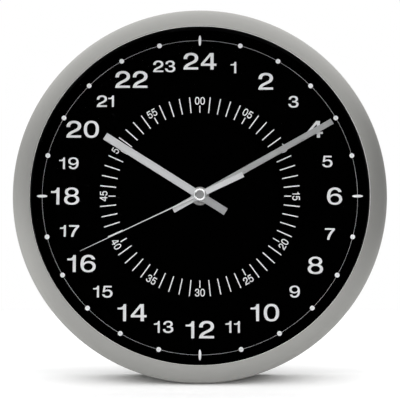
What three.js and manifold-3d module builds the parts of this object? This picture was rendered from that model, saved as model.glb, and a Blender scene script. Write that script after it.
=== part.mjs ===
// Twenty-four hour wall clock: spun aluminium rim, black dial, three hands and a quartz movement.
// Millimetres, +Z up. Seen from the front, +X is to the right and +Y goes back into the wall.
// The origin is the flat top of the keyhole in the back, where the clock hangs on its nail.
import * as THREE from "three";
import { mergeVertices } from "three/addons/utils/BufferGeometryUtils.js";
import Module from "manifold-3d";

const wasm = await Module();
wasm.setup();

// Fits
const seat = 0.2; // between faces that rest on each other
const running = 0.08; // radial room of a shaft in its hole
const press = 0.05; // radial room of a collet on its pipe
const slack = 1; // radial room of the dial in the rim's flange
const past = 1; // how far a cut, or a joined piece, runs past a face

// Facets of round shapes
const caseSides = 48;
const washerSides = 24;
const shaftSides = 12;
const domeSteps = 6;
const innerDomeSteps = 3;
const cornerSteps = 5;

// Rim, one spun ring
const caseRadius = 150;
const bandWidth = 14.5; // visible band, from the skirt in to the lip
const rimWall = 1.5;
const lipFlat = 1.5; // flat front edge of the lip, before the dome
const domeDepth = 9;
const lipOverlap = 3.5; // of the lens and the dial behind the lip

// Lens, gasket, spacer and dial
const lensThickness = 2.5;
const gasketThickness = 0.8;
const lensGap = 3; // in front of the hands
const ringWall = 2.2;
const dialThickness = 1;

// Case back
const backThickness = 3.2;
const backEdge = 0.5; // bevel of its edges
const landHeight = 1; // ring that touches the wall
const landWidth = 10;
const ribWall = 2.6; // ring that presses the dial forwards
const spokeCount = 8;
const spokeWidth = 2;
const spokeDepth = 8;
const collarWall = 2;
const movementGap = 7; // finger room around the movement in its opening
const slotWidth = 6.5; // keyhole
const slotLength = 13;
const slotEntryRadius = 5.5;
const wallGap = 2.1; // behind the setting knob

// Screws through the back into the flange
const screwCount = 6;
const screwRadius = 1.4;
const screwHeadRadius = 2.7;
const screwCrownRadius = 1.9; // flat top of the pan head
const screwHeadHeight = 1.7;
const screwHeadEdge = 0.9; // straight side of the pan head
const screwLength = 6;
const screwStart = 30; // angle of the first screw
const counterboreGap = 0.4; // around and above the head
const crossWidth = 0.8;
const crossLength = 3;
const crossDepth = 0.9;

// Hands: bars with square ends, angles clockwise from the top
const handWidth = { hour: 6.2, minute: 4.9, second: 1.3, counterweight: 4.4 };
const handThickness = { hour: 0.7, minute: 0.6, second: 0.5 };
const handTail = { hour: 24.8, minute: 24.8, second: 38.5 };
const handAngle = { hour: 302.2, minute: 60.7, second: 244.8 };
const minuteTipGap = 12.5; // from the minute hand's tip to the rim's lip
const hourShorter = 32; // than the minute hand
const secondShorter = 17;
const hubWall = 1.1; // of a hand around its collet
const colletWall = 1;
const colletLip = 0.5; // a collet stands this far out of its hand
const handGap = 3; // between one hand and the next
const socketRadius = 1.6;
const capRadius = 5;
const capHeight = 2.6;
const capRecessRadius = 3.3;
const capRecessDepth = 0.5;
const capBevel = 0.4;

// Pipes and arbors on the hand axis, each around the one before
const secondArborRadius = 0.55;
const centreTubeWall = 0.3;
const minutePipeRadius = 1.6;
const hourPipeWall = 0.8;
const bushWall = 1.3;

// Fixing of the movement to the dial
const rubberThickness = 0.8;
const rubberRadius = 12;
const washerThickness = 0.5;
const washerRadius = 7.5;
const nutThickness = 2.5;
const nutAcrossFlats = 11.5;
const bushStandOut = 0.8; // past the nut

// Movement box
const movementWall = 1.2;
const movementFloor = 1.5;
const movementCorner = 2;
const partitionWall = 1;
const coverThickness = 1.5;
const trainPlateThickness = 1;
const trainPlateGap = 0.6; // below the coil
const pivotLength = 2.2;
const pivotRadius = 0.5;
const arborRadius = 0.6;
const bossRadius = 1.6;
const pillarRadius = 2.2;
const pillarNeck = 1.5; // thinner length, through the train plate
const pillarInset = 3.4; // of the left pillars, from the wall
const pegRadius = 1.4;

// Wheels: six levels behind one another
const wheelThickness = 1.1;
const levelGap = 0.4;
const wheelClearance = 0.8;
const addendum = 0.9; // of the module
const dedendum = 1.2;
const tipShare = 0.12; // half widths of a tooth, of the pitch
const rootShare = 0.3;
const teeth = {
  cannon: 8, motionWheel: 32, motionPinion: 8, hourWheel: 48, setting: 12,
  secondPinion: 6, thirdWheel: 48, thirdPinion: 6, centreWheel: 45,
  rotor: 8, intermediateWheel: 40, intermediatePinion: 8, secondWheel: 48,
};
const motionDistance = 11.4; // from the hand axis
const trainDistance = 10;
const rotorDistance = 7.8; // from the intermediate wheel
const motionAngle = 160; // of each axis about the one before, anticlockwise from +X
const thirdAngle = 20;
const intermediateAngle = 110;
const rotorAngle = 165;
const settingAngle = 235;
const settingRadius = 0.9;
const knobRadius = 4.5;
const knobHeight = 4;
const knobGap = 0.3;
const knobFlutes = 18;
const fluteDepth = 0.35;

// Stepping motor
const magnetRadius = 3;
const magnetLength = 2.8;
const airGap = 0.6;
const statorThickness = 0.8;
const statorWidth = 1.8; // around the rotor
const statorArm = 3;
const coilGap = 1.8; // from the stator's arm up to the coil
const coilRadius = 3.9;
const flangeRadius = 4.2;
const barrelRadius = 2.4;
const bobbinLength = 20;
const bobbinFlange = 1;
const coreThickness = 1;
const coreWidth = 2.6;
const tabWidth = 3.6;

// Circuit board
const boardThickness = 0.8;
const boardHeight = 11.5;
const boardRoom = 4; // from its front to the cover
const boardInset = 2.4; // from the right wall
const boardGap = 0.8; // from the stator's tab
const boardDrop = 1.3; // from the top wall
const chipRadius = 2.5;
const chipHeight = 1.2;
const chipInset = 4; // from the board's corner
const crystalRadius = 1.1;
const crystalLength = 6;

// Battery and its contacts
const batteryRadius = 7.25;
const batteryLength = 50.5;
const nubRadius = 2.75;
const nubLength = 1;
const contactRoom = 1.55; // at each end of the battery
const contactThickness = 0.3;
const contactWidth = 5;
const contactFoot = 2.5; // straight end below the dimple
const dimpleHeight = 2;
const dimpleRamp = 1.5;
const boardLap = 4; // a contact's end beside the board

// Solids: three.js geometry in and out of boolean joins and cuts
function toSolid(geometry) {
  const bare = geometry.clone();
  bare.deleteAttribute("normal");
  bare.deleteAttribute("uv");
  const merged = mergeVertices(bare, 1e-4);
  return new wasm.Manifold(
    new wasm.Mesh({
      numProp: 3,
      vertProperties: new Float32Array(merged.getAttribute("position").array),
      triVerts: new Uint32Array(merged.index.array),
    }),
  );
}

function toGeometry(solid) {
  const mesh = solid.getMesh();
  const geometry = new THREE.BufferGeometry();
  geometry.setAttribute("position", new THREE.BufferAttribute(mesh.vertProperties, 3));
  geometry.setIndex(new THREE.BufferAttribute(mesh.triVerts, 1));
  geometry.computeVertexNormals();
  return geometry;
}

function join(...geometries) {
  return toGeometry(geometries.map(toSolid).reduce((whole, next) => whole.add(next)));
}

function cut(geometry, ...tools) {
  return toGeometry(tools.map(toSolid).reduce((left, tool) => left.subtract(tool), toSolid(geometry)));
}

// Round shapes turn about the Y axis, with their outline as [radius, y] points
function turned(outline, sides) {
  return new THREE.LatheGeometry(outline.map(([radius, y]) => new THREE.Vector2(radius, y)), sides);
}

function disc(radius, front, back, sides) {
  return turned([[0, front], [radius, front], [radius, back], [0, back]], sides);
}

function ring(inner, outer, front, back, sides) {
  const outline = [[inner, front], [outer, front], [outer, back], [inner, back], [inner, front]];
  return turned(outline, sides);
}

// A shaft of steps, each [radius, back], from one front face
function stepped(front, steps) {
  const outline = [[0, front]];
  let reached = front;
  for (const [radius, back] of steps) {
    outline.push([radius, reached], [radius, back]);
    reached = back;
  }
  outline.push([0, reached]);
  return turned(outline, shaftSides);
}

// The corner radius of a many-sided hole that a shaft turns in
function bore(radius, room = running) {
  return (radius + room) / Math.cos(Math.PI / shaftSides);
}

// A flat outline seen from the front, x to the right and z up, as a plate between two depths
function plate(shape, front, back) {
  const geometry = new THREE.ExtrudeGeometry(shape, {
    depth: back - front,
    bevelEnabled: false,
    curveSegments: cornerSteps,
  });
  geometry.rotateX(Math.PI / 2);
  geometry.translate(0, back, 0);
  return geometry;
}

function rectangle(left, bottom, right, top) {
  const corners = [[left, bottom], [right, bottom], [right, top], [left, top]];
  return new THREE.Shape(corners.map(([x, z]) => new THREE.Vector2(x, z)));
}

function roundedRectangle(left, bottom, right, top, radius) {
  const shape = new THREE.Shape();
  shape.absarc(right - radius, bottom + radius, radius, -Math.PI / 2, 0);
  shape.absarc(right - radius, top - radius, radius, 0, Math.PI / 2);
  shape.absarc(left + radius, top - radius, radius, Math.PI / 2, Math.PI);
  shape.absarc(left + radius, bottom + radius, radius, Math.PI, Math.PI * 1.5);
  shape.closePath();
  return shape;
}

function block(left, bottom, right, top, front, back) {
  return plate(rectangle(left, bottom, right, top), front, back);
}

// A bent strip of even thickness along a line of [x, z] points
function strip(points, thickness) {
  const line = points.map(([x, z]) => new THREE.Vector2(x, z));
  const normals = line.slice(1).map((end, i) => {
    const along = end.clone().sub(line[i]).normalize();
    return new THREE.Vector2(-along.y, along.x);
  });
  const sideways = line.map((_, i) => {
    const before = normals[Math.max(i - 1, 0)];
    const after = normals[Math.min(i, normals.length - 1)];
    const mitre = before.clone().add(after).normalize();
    return mitre.multiplyScalar(thickness / 2 / mitre.dot(before));
  });
  const right = line.map((point, i) => point.clone().sub(sideways[i]));
  const left = line.map((point, i) => point.clone().add(sideways[i]));
  return new THREE.Shape([...right, ...left.reverse()]);
}

function at(geometry, [x, z]) {
  return geometry.clone().translate(x, 0, z);
}

function polar(distance, degrees, [x, z] = [0, 0]) {
  const angle = THREE.MathUtils.degToRad(degrees);
  return [x + distance * Math.cos(angle), z + distance * Math.sin(angle)];
}

function around(count, startDegrees, place) {
  return Array.from({ length: count }, (_, i) => place(startDegrees + (i * 360) / count));
}

// Gears
function moduleOf(distance, teethOne, teethOther) {
  return (2 * distance) / (teethOne + teethOther);
}

function tipRadius(count, module) {
  return module * (count / 2 + addendum);
}

function gear(count, module, phase, front) {
  const pitch = (2 * Math.PI) / count;
  const root = module * (count / 2 - dedendum);
  const tip = tipRadius(count, module);
  const corners = [[root, -rootShare], [tip, -tipShare], [tip, tipShare], [root, rootShare]];
  const points = [];
  for (let i = 0; i < count; i++) {
    for (const [radius, share] of corners) {
      const angle = phase + (i + share) * pitch;
      points.push(new THREE.Vector2(radius * Math.cos(angle), radius * Math.sin(angle)));
    }
  }
  return plate(new THREE.Shape(points), front, front + wheelThickness);
}

// The phase at which a second gear meshes with a first one, whose mate lies in this direction
function meshing(phase, count, mateCount, direction) {
  const pitch = (2 * Math.PI) / count;
  const lead = phase - direction;
  const offset = lead - pitch * Math.round(lead / pitch);
  return direction + Math.PI - (offset * count) / mateCount + Math.PI / mateCount;
}

function directionTo([fromX, fromZ], [toX, toZ]) {
  return Math.atan2(toZ - fromZ, toX - fromX);
}

// Depths of the hands, forwards from the dial's front face at y = 0
const washerBack = -seat;
const washerFront = washerBack - washerThickness;
const nutBack = washerFront - seat;
const nutFront = nutBack - nutThickness;
const bushFront = nutFront - bushStandOut;
const hourHandBack = bushFront - colletLip - seat;
const hourHandFront = hourHandBack - handThickness.hour;
const minuteHandBack = hourHandFront - handGap;
const minuteHandFront = minuteHandBack - handThickness.minute;
const secondHandBack = minuteHandFront - handGap;
const secondHandFront = secondHandBack - handThickness.second;
const capBack = secondHandFront - seat;
const capFront = capBack - capHeight;

// Depths of the case and the movement
const dialBack = dialThickness;
const lensBack = capFront - lensGap;
const lensFront = lensBack - lensThickness;
const gasketBack = lensFront - seat;
const gasketFront = gasketBack - gasketThickness;
const lipBack = gasketFront - seat;
const rimFront = lipBack - rimWall;
const rubberFront = dialBack + seat / 2;
const rubberBack = rubberFront + rubberThickness;
const movementFront = rubberBack + seat / 2;
const roomFront = movementFront + movementFloor;
const hourLevel = roomFront + levelGap;
const motionLevel = hourLevel + wheelThickness + levelGap;
const trainPlateFront = motionLevel + wheelThickness + levelGap;
const trainPlateBack = trainPlateFront + trainPlateThickness;
const centreLevel = trainPlateBack + levelGap;
const thirdLevel = centreLevel + wheelThickness + levelGap;
const secondLevel = thirdLevel + wheelThickness + levelGap;
const intermediateLevel = secondLevel + wheelThickness + levelGap;
const bossFront = intermediateLevel + wheelThickness + levelGap;
const coverFront = bossFront + pivotLength;
const movementBack = coverFront + coverThickness;
const pivotEnd = coverFront - seat;
const knobFront = movementBack + knobGap;
const knobBack = knobFront + knobHeight;
const wallPlane = knobBack + wallGap;
const backRear = wallPlane - landHeight;
const backFront = backRear - backThickness;
const screwSeat = backRear - screwHeadHeight - counterboreGap;
const flangeBack = backFront - seat;
const flangeFront = flangeBack - rimWall;

// Radii of the case
const openingRadius = caseRadius - bandWidth;
const skirtInner = caseRadius - rimWall;
const dialRadius = openingRadius + lipOverlap;
const flangeInner = dialRadius + slack;
const screwCircle = (flangeInner + skirtInner) / 2;
const backRadius = skirtInner - seat;
const ribOuter = dialRadius - slack;
const ribInner = ribOuter - ribWall;
const landOuter = ribInner - landWidth;
const landInner = landOuter - landWidth;
const nailSeatHeight = landInner - slotWidth;
const entryHeight = nailSeatHeight - slotLength;
const screwAxes = around(screwCount, screwStart, (angle) => polar(screwCircle, angle));

// Radii on the hand axis
const arborBore = bore(secondArborRadius);
const centreTubeRadius = arborBore + centreTubeWall;
const cannonBore = bore(centreTubeRadius);
const hourPipeBore = bore(minutePipeRadius);
const hourPipeRadius = hourPipeBore + hourPipeWall;
const bushBore = bore(hourPipeRadius);
const bushRadius = bushBore + bushWall;
const bushHole = bore(bushRadius, seat / 2);

// Wheel axes, as [x, z] from the hand axis
const handAxis = [0, 0];
const motionAxis = polar(motionDistance, motionAngle);
const thirdAxis = polar(trainDistance, thirdAngle);
const intermediateAxis = polar(trainDistance, intermediateAngle);
const rotorAxis = polar(rotorDistance, rotorAngle, intermediateAxis);
const motionModule = moduleOf(motionDistance, teeth.cannon, teeth.motionWheel);
const hourModule = moduleOf(motionDistance, teeth.motionPinion, teeth.hourWheel);
const thirdModule = moduleOf(trainDistance, teeth.secondPinion, teeth.thirdWheel);
const centreModule = moduleOf(trainDistance, teeth.thirdPinion, teeth.centreWheel);
const secondModule = moduleOf(trainDistance, teeth.intermediatePinion, teeth.secondWheel);
const rotorModule = moduleOf(rotorDistance, teeth.rotor, teeth.intermediateWheel);
const settingDistance = (motionModule * (teeth.motionWheel + teeth.setting)) / 2;
const settingAxis = polar(settingDistance, settingAngle, motionAxis);

// The movement's inside: wheels above the partition, battery below it
const largestWheel = Math.max(
  tipRadius(teeth.hourWheel, hourModule),
  tipRadius(teeth.centreWheel, centreModule),
  tipRadius(teeth.secondWheel, secondModule),
);
const roomSide = batteryLength / 2 + contactRoom;
const roomBottom = -(largestWheel + wheelClearance);
const bayTop = roomBottom - partitionWall;
const bayBottom = bayTop - 2 * batteryRadius - 2 * seat;
const movementSide = roomSide + movementWall;
const movementBottom = bayBottom - movementWall;
const batteryHeight = (bayTop + bayBottom) / 2;
const batteryDepth = roomFront + batteryRadius;
const contactFront = batteryDepth - contactWidth / 2;
const contactBack = batteryDepth + contactWidth / 2;
const notchDepth = contactThickness + 3 * seat; // in the partition, for each contact

// The motor's iron lies level with the third wheel, with the coil above it
const statorFront = thirdLevel;
const statorBack = statorFront + statorThickness;
const statorHole = magnetRadius + airGap;
const coreFront = statorBack + seat;
const coilDepth = coreFront + coreThickness / 2;
const armBottom = rotorAxis[1] + statorHole - statorWidth;
const armTop = armBottom + statorArm;
const coilHeight = armTop + coilGap + flangeRadius;
const roomTop = coilHeight + flangeRadius + 2 * seat;
const movementTop = roomTop + movementWall;
const coilLeft = rotorAxis[0] - magnetRadius;
const coilRight = coilLeft + bobbinLength;
const leftTab = coilLeft - 3 * seat - tabWidth;
const rightTab = coilRight + 2 * seat;
const tabTop = coilHeight + coreWidth;
const trainPlateTop = coilHeight - flangeRadius - trainPlateGap;

// The circuit board stands to the right of the coil
const boardFront = coverFront - boardRoom;
const boardBack = boardFront + boardThickness;
const boardRight = roomSide - boardInset;
const boardLeft = rightTab + tabWidth + boardGap;
const boardTop = roomTop - boardDrop;
const boardBottom = boardTop - boardHeight;
const boardPegs = [[boardLeft + 2 * pegRadius, boardTop - 2 * pegRadius],
  [boardRight - 2 * pegRadius, boardTop - boardHeight / 2]];

// Four pillars carry the train plate, clear of the wheels
const pillarLeft = pillarInset - roomSide;
const pillarRight = boardRight - pillarRadius;
const pillars = [
  [pillarRight, roomBottom + 1.5 * pillarRadius],
  [pillarRight, boardBottom - 2 * pillarRadius],
  [pillarLeft, (motionAxis[1] + settingAxis[1]) / 2],
  [pillarLeft, trainPlateTop - pillarRadius],
];

// Lengths of the hands
const minuteHandLength = openingRadius - minuteTipGap;
const hourHandLength = minuteHandLength - hourShorter;
const secondHandLength = minuteHandLength - secondShorter;

// Materials
function finish(color, roughness, metalness, extra = {}) {
  return new THREE.MeshStandardMaterial({ color, roughness, metalness, flatShading: true, ...extra });
}

const satinAluminium = () => finish(0xa9a9a4, 0.38, 1);
const brushedHand = () => finish(0xc6c8c7, 0.35, 1);
const polishedMetal = () => finish(0xe4e4e2, 0.12, 1);
const blackPaint = () => finish(0x060606, 0.6, 0);
const blackPlastic = () => finish(0x1b1b1c, 0.55, 0);
const greyPlastic = () => finish(0x2c2e30, 0.5, 0);
const whitePlastic = () => finish(0xe9e6dc, 0.45, 0);
const rubber = () => finish(0x111111, 0.85, 0);
const brass = () => finish(0xb8954a, 0.3, 1);
const steel = () => finish(0x9a9c9f, 0.35, 1);
const spring = () => finish(0xc9ccd0, 0.3, 1);
const copper = () => finish(0xa85c2c, 0.35, 1);
const clear = () => finish(0xffffff, 0.05, 0, { transparent: true, opacity: 0.12 });
const boardGreen = () => finish(0x2c5a38, 0.5, 0);
const batterySleeve = () => finish(0x3a3d42, 0.4, 0.2);

function piece(parent, name, geometry, material) {
  const mesh = new THREE.Mesh(geometry, material);
  mesh.name = name;
  parent.add(mesh);
  return mesh;
}

const clock = new THREE.Group();
const caseGroup = new THREE.Group();
const movement = new THREE.Group();
clock.add(caseGroup, movement);

// Rim: domed band, straight skirt, flange turned in at the back, holes for the screws
function rimGeometry() {
  const domeStart = openingRadius + lipFlat;
  const domeEnd = rimFront + domeDepth;
  const quarter = (outerRadius, depth, steps) =>
    Array.from({ length: steps + 1 }, (_, i) => {
      const angle = ((Math.PI / 2) * i) / steps;
      const radius = domeStart + (outerRadius - domeStart) * Math.sin(angle);
      return [radius, domeEnd - depth * Math.cos(angle)];
    });
  const outline = [
    [openingRadius, rimFront],
    ...quarter(caseRadius, domeDepth, domeSteps),
    [caseRadius, flangeBack],
    [flangeInner, flangeBack],
    [flangeInner, flangeFront],
    [skirtInner, flangeFront],
    ...quarter(skirtInner, domeDepth - rimWall, innerDomeSteps).reverse(),
    [openingRadius, lipBack],
    [openingRadius, rimFront],
  ];
  const hole = disc(bore(screwRadius), flangeFront - past, flangeBack + past, shaftSides);
  return cut(turned(outline, caseSides), ...screwAxes.map((axis) => at(hole, axis)));
}
piece(caseGroup, "rim", rimGeometry(), satinAluminium());

// Gasket, lens, spacer ring and dial, stacked behind the lip
const gasketInner = openingRadius + seat;
const gasket = ring(gasketInner, gasketInner + ringWall, gasketFront, gasketBack, caseSides);
piece(caseGroup, "lens_gasket", gasket, rubber());
piece(caseGroup, "lens", disc(dialRadius, lensFront, lensBack, caseSides), clear());
const spacer = ring(dialRadius - ringWall, dialRadius, lensBack + seat, -seat, caseSides);
piece(caseGroup, "dial_ring", spacer, blackPlastic());
piece(caseGroup, "dial", ring(bushHole, dialRadius, 0, dialBack, caseSides), blackPaint());

// Case back: turned plate with a rib for the dial and a land for the wall, opened for the movement
function backGeometry() {
  const outline = [
    [0, backFront],
    [ribInner, backFront],
    [ribInner, dialBack + seat],
    [ribOuter, dialBack + seat],
    [ribOuter, backFront],
    [backRadius, backFront],
    [backRadius, backRear - backEdge],
    [backRadius - backEdge, backRear],
    [landOuter, backRear],
    [landOuter - backEdge, wallPlane],
    [landInner + backEdge, wallPlane],
    [landInner, backRear],
    [0, backRear],
  ];
  const openSide = movementSide + movementGap;
  const openTop = movementTop + movementGap;
  const openBottom = movementBottom - movementGap;
  const spokeFront = backFront - spokeDepth;
  const corner = movementCorner + movementGap;
  const collar = roundedRectangle(
    -openSide - collarWall, openBottom - collarWall, openSide + collarWall, openTop + collarWall,
    corner + collarWall,
  );
  const spoke = block(-spokeWidth / 2, openSide, spokeWidth / 2, ribInner + ribWall / 2,
    spokeFront, backFront + past);
  const spokes = around(spokeCount, 180 / spokeCount, (angle) =>
    spoke.clone().rotateY(THREE.MathUtils.degToRad(angle)));
  const opening = roundedRectangle(-openSide, openBottom, openSide, openTop, corner);
  const keyhole = [
    at(disc(slotEntryRadius, backFront - past, backRear + past, shaftSides), [0, entryHeight]),
    block(-slotWidth / 2, entryHeight, slotWidth / 2, nailSeatHeight, backFront - past, backRear + past),
  ];
  const counterbore = stepped(backFront - past, [
    [bore(screwRadius), screwSeat],
    [screwHeadRadius + counterboreGap, backRear + past],
  ]);
  const counterbores = screwAxes.map((axis) => at(counterbore, axis));
  const whole = join(turned(outline, caseSides), plate(collar, spokeFront, backFront + past), ...spokes);
  return cut(whole, plate(opening, spokeFront - past, wallPlane + past), ...keyhole, ...counterbores);
}
piece(caseGroup, "case_back", backGeometry(), blackPlastic());

// Screws: pan head with a cross, in a counterbore of the back
function screwGeometry() {
  const headFront = screwSeat + seat;
  const headBack = headFront + screwHeadHeight;
  const body = turned([
    [0, headFront - screwLength], [screwRadius, headFront - screwLength], [screwRadius, headFront],
    [screwHeadRadius, headFront], [screwHeadRadius, headFront + screwHeadEdge],
    [screwCrownRadius, headBack], [0, headBack],
  ], shaftSides);
  const half = crossWidth / 2;
  const arm = crossLength / 2;
  const crossFront = headBack - crossDepth;
  return cut(
    body,
    block(-half, -arm, half, arm, crossFront, headBack + past),
    block(-arm, -half, arm, half, crossFront, headBack + past),
  );
}
screwAxes.forEach(([x, z], i) => {
  piece(caseGroup, `back_screw_${i + 1}`, screwGeometry(), steel()).position.set(x, 0, z);
});

// Fixing: threaded bush out of the movement, rubber behind the dial, washer and nut before it
const bush = ring(bushBore, bushRadius, bushFront, roomFront - seat, shaftSides);
piece(caseGroup, "centre_bush", bush, brass());
const softWasher = ring(bushHole, rubberRadius, rubberFront, rubberBack, washerSides);
piece(caseGroup, "rubber_washer", softWasher, rubber());
const washer = ring(bushHole, washerRadius, washerFront, washerBack, washerSides);
piece(caseGroup, "brass_washer", washer, brass());
function nutGeometry() {
  const corner = nutAcrossFlats / 2 / Math.cos(Math.PI / 6);
  const hole = disc(bushHole, nutFront - past, nutBack + past, shaftSides);
  return cut(disc(corner, nutFront, nutBack, 6), hole);
}
piece(caseGroup, "hex_nut", nutGeometry(), brass());

// Movement case: floor, walls, partition, pillars and pegs, with the battery bay open at the back
function movementCaseGeometry() {
  const box = roundedRectangle(-movementSide, movementBottom, movementSide, movementTop, movementCorner);
  const room = block(-roomSide, roomBottom, roomSide, roomTop, roomFront, movementBack + past);
  const bay = block(-roomSide, bayBottom, roomSide, bayTop, roomFront - seat, movementBack + past);
  const notches = [-1, 1].map((side) => {
    const ends = [side * roomSide, side * (roomSide - notchDepth)];
    return block(Math.min(...ends), bayTop - past, Math.max(...ends), roomBottom + past,
      contactFront - seat, contactBack + seat);
  });
  const hollow = cut(plate(box, movementFront, movementBack), room, bay, ...notches);
  const inFloor = roomFront - movementFloor / 2;
  const pillar = stepped(inFloor, [[pillarRadius, trainPlateFront - seat], [pillarNeck, coverFront - seat]]);
  const statorPeg = disc(pegRadius, inFloor, statorFront - seat, shaftSides);
  const boardPeg = disc(pegRadius, inFloor, boardFront - seat, shaftSides);
  const statorPegs = [leftTab, rightTab].map((left) => [left + tabWidth / 2, coilHeight]);
  const pivotHole = disc(bore(pivotRadius), movementFront + 2 * seat, roomFront + past, shaftSides);
  const bushPassage = disc(bushHole, movementFront - past, roomFront + past, shaftSides);
  const filled = join(
    hollow,
    ...pillars.map((axis) => at(pillar, axis)),
    ...statorPegs.map((axis) => at(statorPeg, axis)),
    ...boardPegs.map((axis) => at(boardPeg, axis)),
  );
  return cut(filled, bushPassage, at(pivotHole, motionAxis), at(pivotHole, settingAxis));
}
piece(movement, "movement_case", movementCaseGeometry(), greyPlastic());

// Train plate, on the shoulders of the pillars
function trainPlateGeometry() {
  const edge = 4 * seat;
  const outline = roundedRectangle(
    -roomSide + edge, roomBottom + edge, roomSide - contactRoom - edge, trainPlateTop, movementCorner);
  const through = (radius, axis) =>
    at(disc(radius, trainPlateFront - past, trainPlateBack + past, shaftSides), axis);
  return cut(
    plate(outline, trainPlateFront, trainPlateBack),
    ...pillars.map((axis) => through(pillarNeck + seat, axis)),
    ...[motionAxis, thirdAxis, intermediateAxis, rotorAxis].map((axis) => through(bore(pivotRadius), axis)),
    through(bore(centreTubeRadius), handAxis),
    through(bore(settingRadius), settingAxis),
  );
}
piece(movement, "train_plate", trainPlateGeometry(), whitePlastic());

// Cover over the wheels, with a boss for each rear pivot
function coverGeometry() {
  const outline = rectangle(-roomSide + seat, roomBottom + seat, roomSide - seat, roomTop - seat);
  const boss = disc(bossRadius, bossFront, coverFront + coverThickness / 2, shaftSides);
  const hole = disc(bore(pivotRadius), bossFront - past, coverFront, shaftSides);
  const axes = [handAxis, thirdAxis, intermediateAxis, rotorAxis];
  return cut(
    join(plate(outline, coverFront, movementBack), ...axes.map((axis) => at(boss, axis))),
    ...axes.map((axis) => at(hole, axis)),
    at(disc(bore(settingRadius), coverFront - past, movementBack + past, shaftSides), settingAxis),
  );
}
piece(movement, "movement_cover", coverGeometry(), greyPlastic());

// Circuit board on its pegs, with the timing chip and the quartz crystal
const board = block(boardLeft, boardBottom, boardRight, boardTop, boardFront, boardBack);
piece(movement, "circuit_board", board, boardGreen());
const chipFront = boardBack + seat;
const chip = turned([[0, chipFront], [chipRadius, chipFront], [chipRadius / 2, chipFront + chipHeight],
  [0, chipFront + chipHeight]], shaftSides);
piece(movement, "timing_chip", chip, rubber())
  .position.set(boardLeft + chipInset, 0, boardBottom + chipInset);
const crystal = new THREE.CylinderGeometry(crystalRadius, crystalRadius, crystalLength, shaftSides);
crystal.rotateZ(Math.PI / 2);
piece(movement, "quartz_crystal", crystal, spring()).position.set(
  boardRight - crystalLength / 2 - crystalRadius, boardBack + seat + crystalRadius,
  boardTop - 2 * crystalRadius);

// Motor: stator round the rotor, iron core across its tabs, wound bobbin on the core
function statorGeometry() {
  const [x, z] = rotorAxis;
  const ironWork = join(
    at(disc(statorHole + statorWidth, statorFront, statorBack, washerSides), rotorAxis),
    block(leftTab, z - statorArm, leftTab + tabWidth, tabTop, statorFront, statorBack),
    block(x, armBottom, rightTab + tabWidth, armTop, statorFront, statorBack),
    block(rightTab, armBottom, rightTab + tabWidth, tabTop, statorFront, statorBack),
  );
  return cut(ironWork, at(disc(statorHole, statorFront - past, statorBack + past, washerSides), rotorAxis));
}
piece(movement, "stator", statorGeometry(), steel());
const core = block(leftTab + seat, coilHeight - coreWidth / 2, rightTab + tabWidth - seat,
  coilHeight + coreWidth / 2, coreFront, coreFront + coreThickness);
piece(movement, "coil_core", core, steel());

// The bobbin and its winding turn about the coil's own axis, along X
function alongCoil(geometry) {
  return geometry.rotateZ(-Math.PI / 2).translate(coilLeft, coilDepth, coilHeight);
}
function bobbinGeometry() {
  const end = bobbinLength - bobbinFlange;
  const spool = turned([
    [0, 0], [flangeRadius, 0], [flangeRadius, bobbinFlange], [barrelRadius, bobbinFlange],
    [barrelRadius, end], [flangeRadius, end], [flangeRadius, bobbinLength], [0, bobbinLength],
  ], shaftSides);
  const slot = block(coilLeft - past, coilHeight - coreWidth / 2 - seat, coilRight + past,
    coilHeight + coreWidth / 2 + seat, coreFront - seat, coreFront + coreThickness + seat);
  return cut(alongCoil(spool), slot);
}
piece(movement, "coil_bobbin", bobbinGeometry(), whitePlastic());
const winding = ring(barrelRadius + seat / 2, coilRadius, bobbinFlange + seat / 2,
  bobbinLength - bobbinFlange - seat / 2, shaftSides);
piece(movement, "coil_winding", alongCoil(winding), copper());

// Going train, from the rotor to the second hand and on to the centre wheel
const fromRotor = directionTo(rotorAxis, intermediateAxis);
const fromIntermediate = directionTo(intermediateAxis, handAxis);
const toThird = directionTo(handAxis, thirdAxis);
const fromThird = directionTo(thirdAxis, handAxis);
const statorMiddle = (statorFront + statorBack) / 2;
const magnetFront = statorMiddle - magnetLength / 2;
const magnetHole = bore(arborRadius, press);
const magnet = ring(magnetHole, magnetRadius, magnetFront, magnetFront + magnetLength, shaftSides);
const pivotFront = trainPlateFront + seat;
const rotorPinion = join(
  gear(teeth.rotor, rotorModule, fromRotor, intermediateLevel),
  stepped(pivotFront, [[pivotRadius, trainPlateBack + seat], [arborRadius, bossFront - seat],
    [pivotRadius, pivotEnd]]),
);
const rotor = new THREE.Group();
rotor.position.set(rotorAxis[0], 0, rotorAxis[1]);
movement.add(rotor);
piece(rotor, "rotor_magnet", magnet, steel());
piece(rotor, "rotor_pinion", rotorPinion, whitePlastic());

const intermediateWheel = join(
  gear(teeth.intermediateWheel, rotorModule,
    meshing(fromRotor, teeth.rotor, teeth.intermediateWheel, fromRotor), intermediateLevel),
  gear(teeth.intermediatePinion, secondModule, fromIntermediate, secondLevel),
  stepped(pivotFront, [[pivotRadius, trainPlateBack + seat], [arborRadius, bossFront - seat],
    [pivotRadius, pivotEnd]]),
);
piece(movement, "intermediate_wheel", intermediateWheel, whitePlastic())
  .position.set(intermediateAxis[0], 0, intermediateAxis[1]);

const thirdWheel = join(
  gear(teeth.thirdWheel, thirdModule,
    meshing(toThird, teeth.secondPinion, teeth.thirdWheel, toThird), thirdLevel),
  gear(teeth.thirdPinion, centreModule, fromThird, centreLevel),
  stepped(pivotFront, [[pivotRadius, trainPlateBack + seat], [arborRadius, bossFront - seat],
    [pivotRadius, pivotEnd]]),
);
piece(movement, "third_wheel", thirdWheel, whitePlastic()).position.set(thirdAxis[0], 0, thirdAxis[1]);

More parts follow.
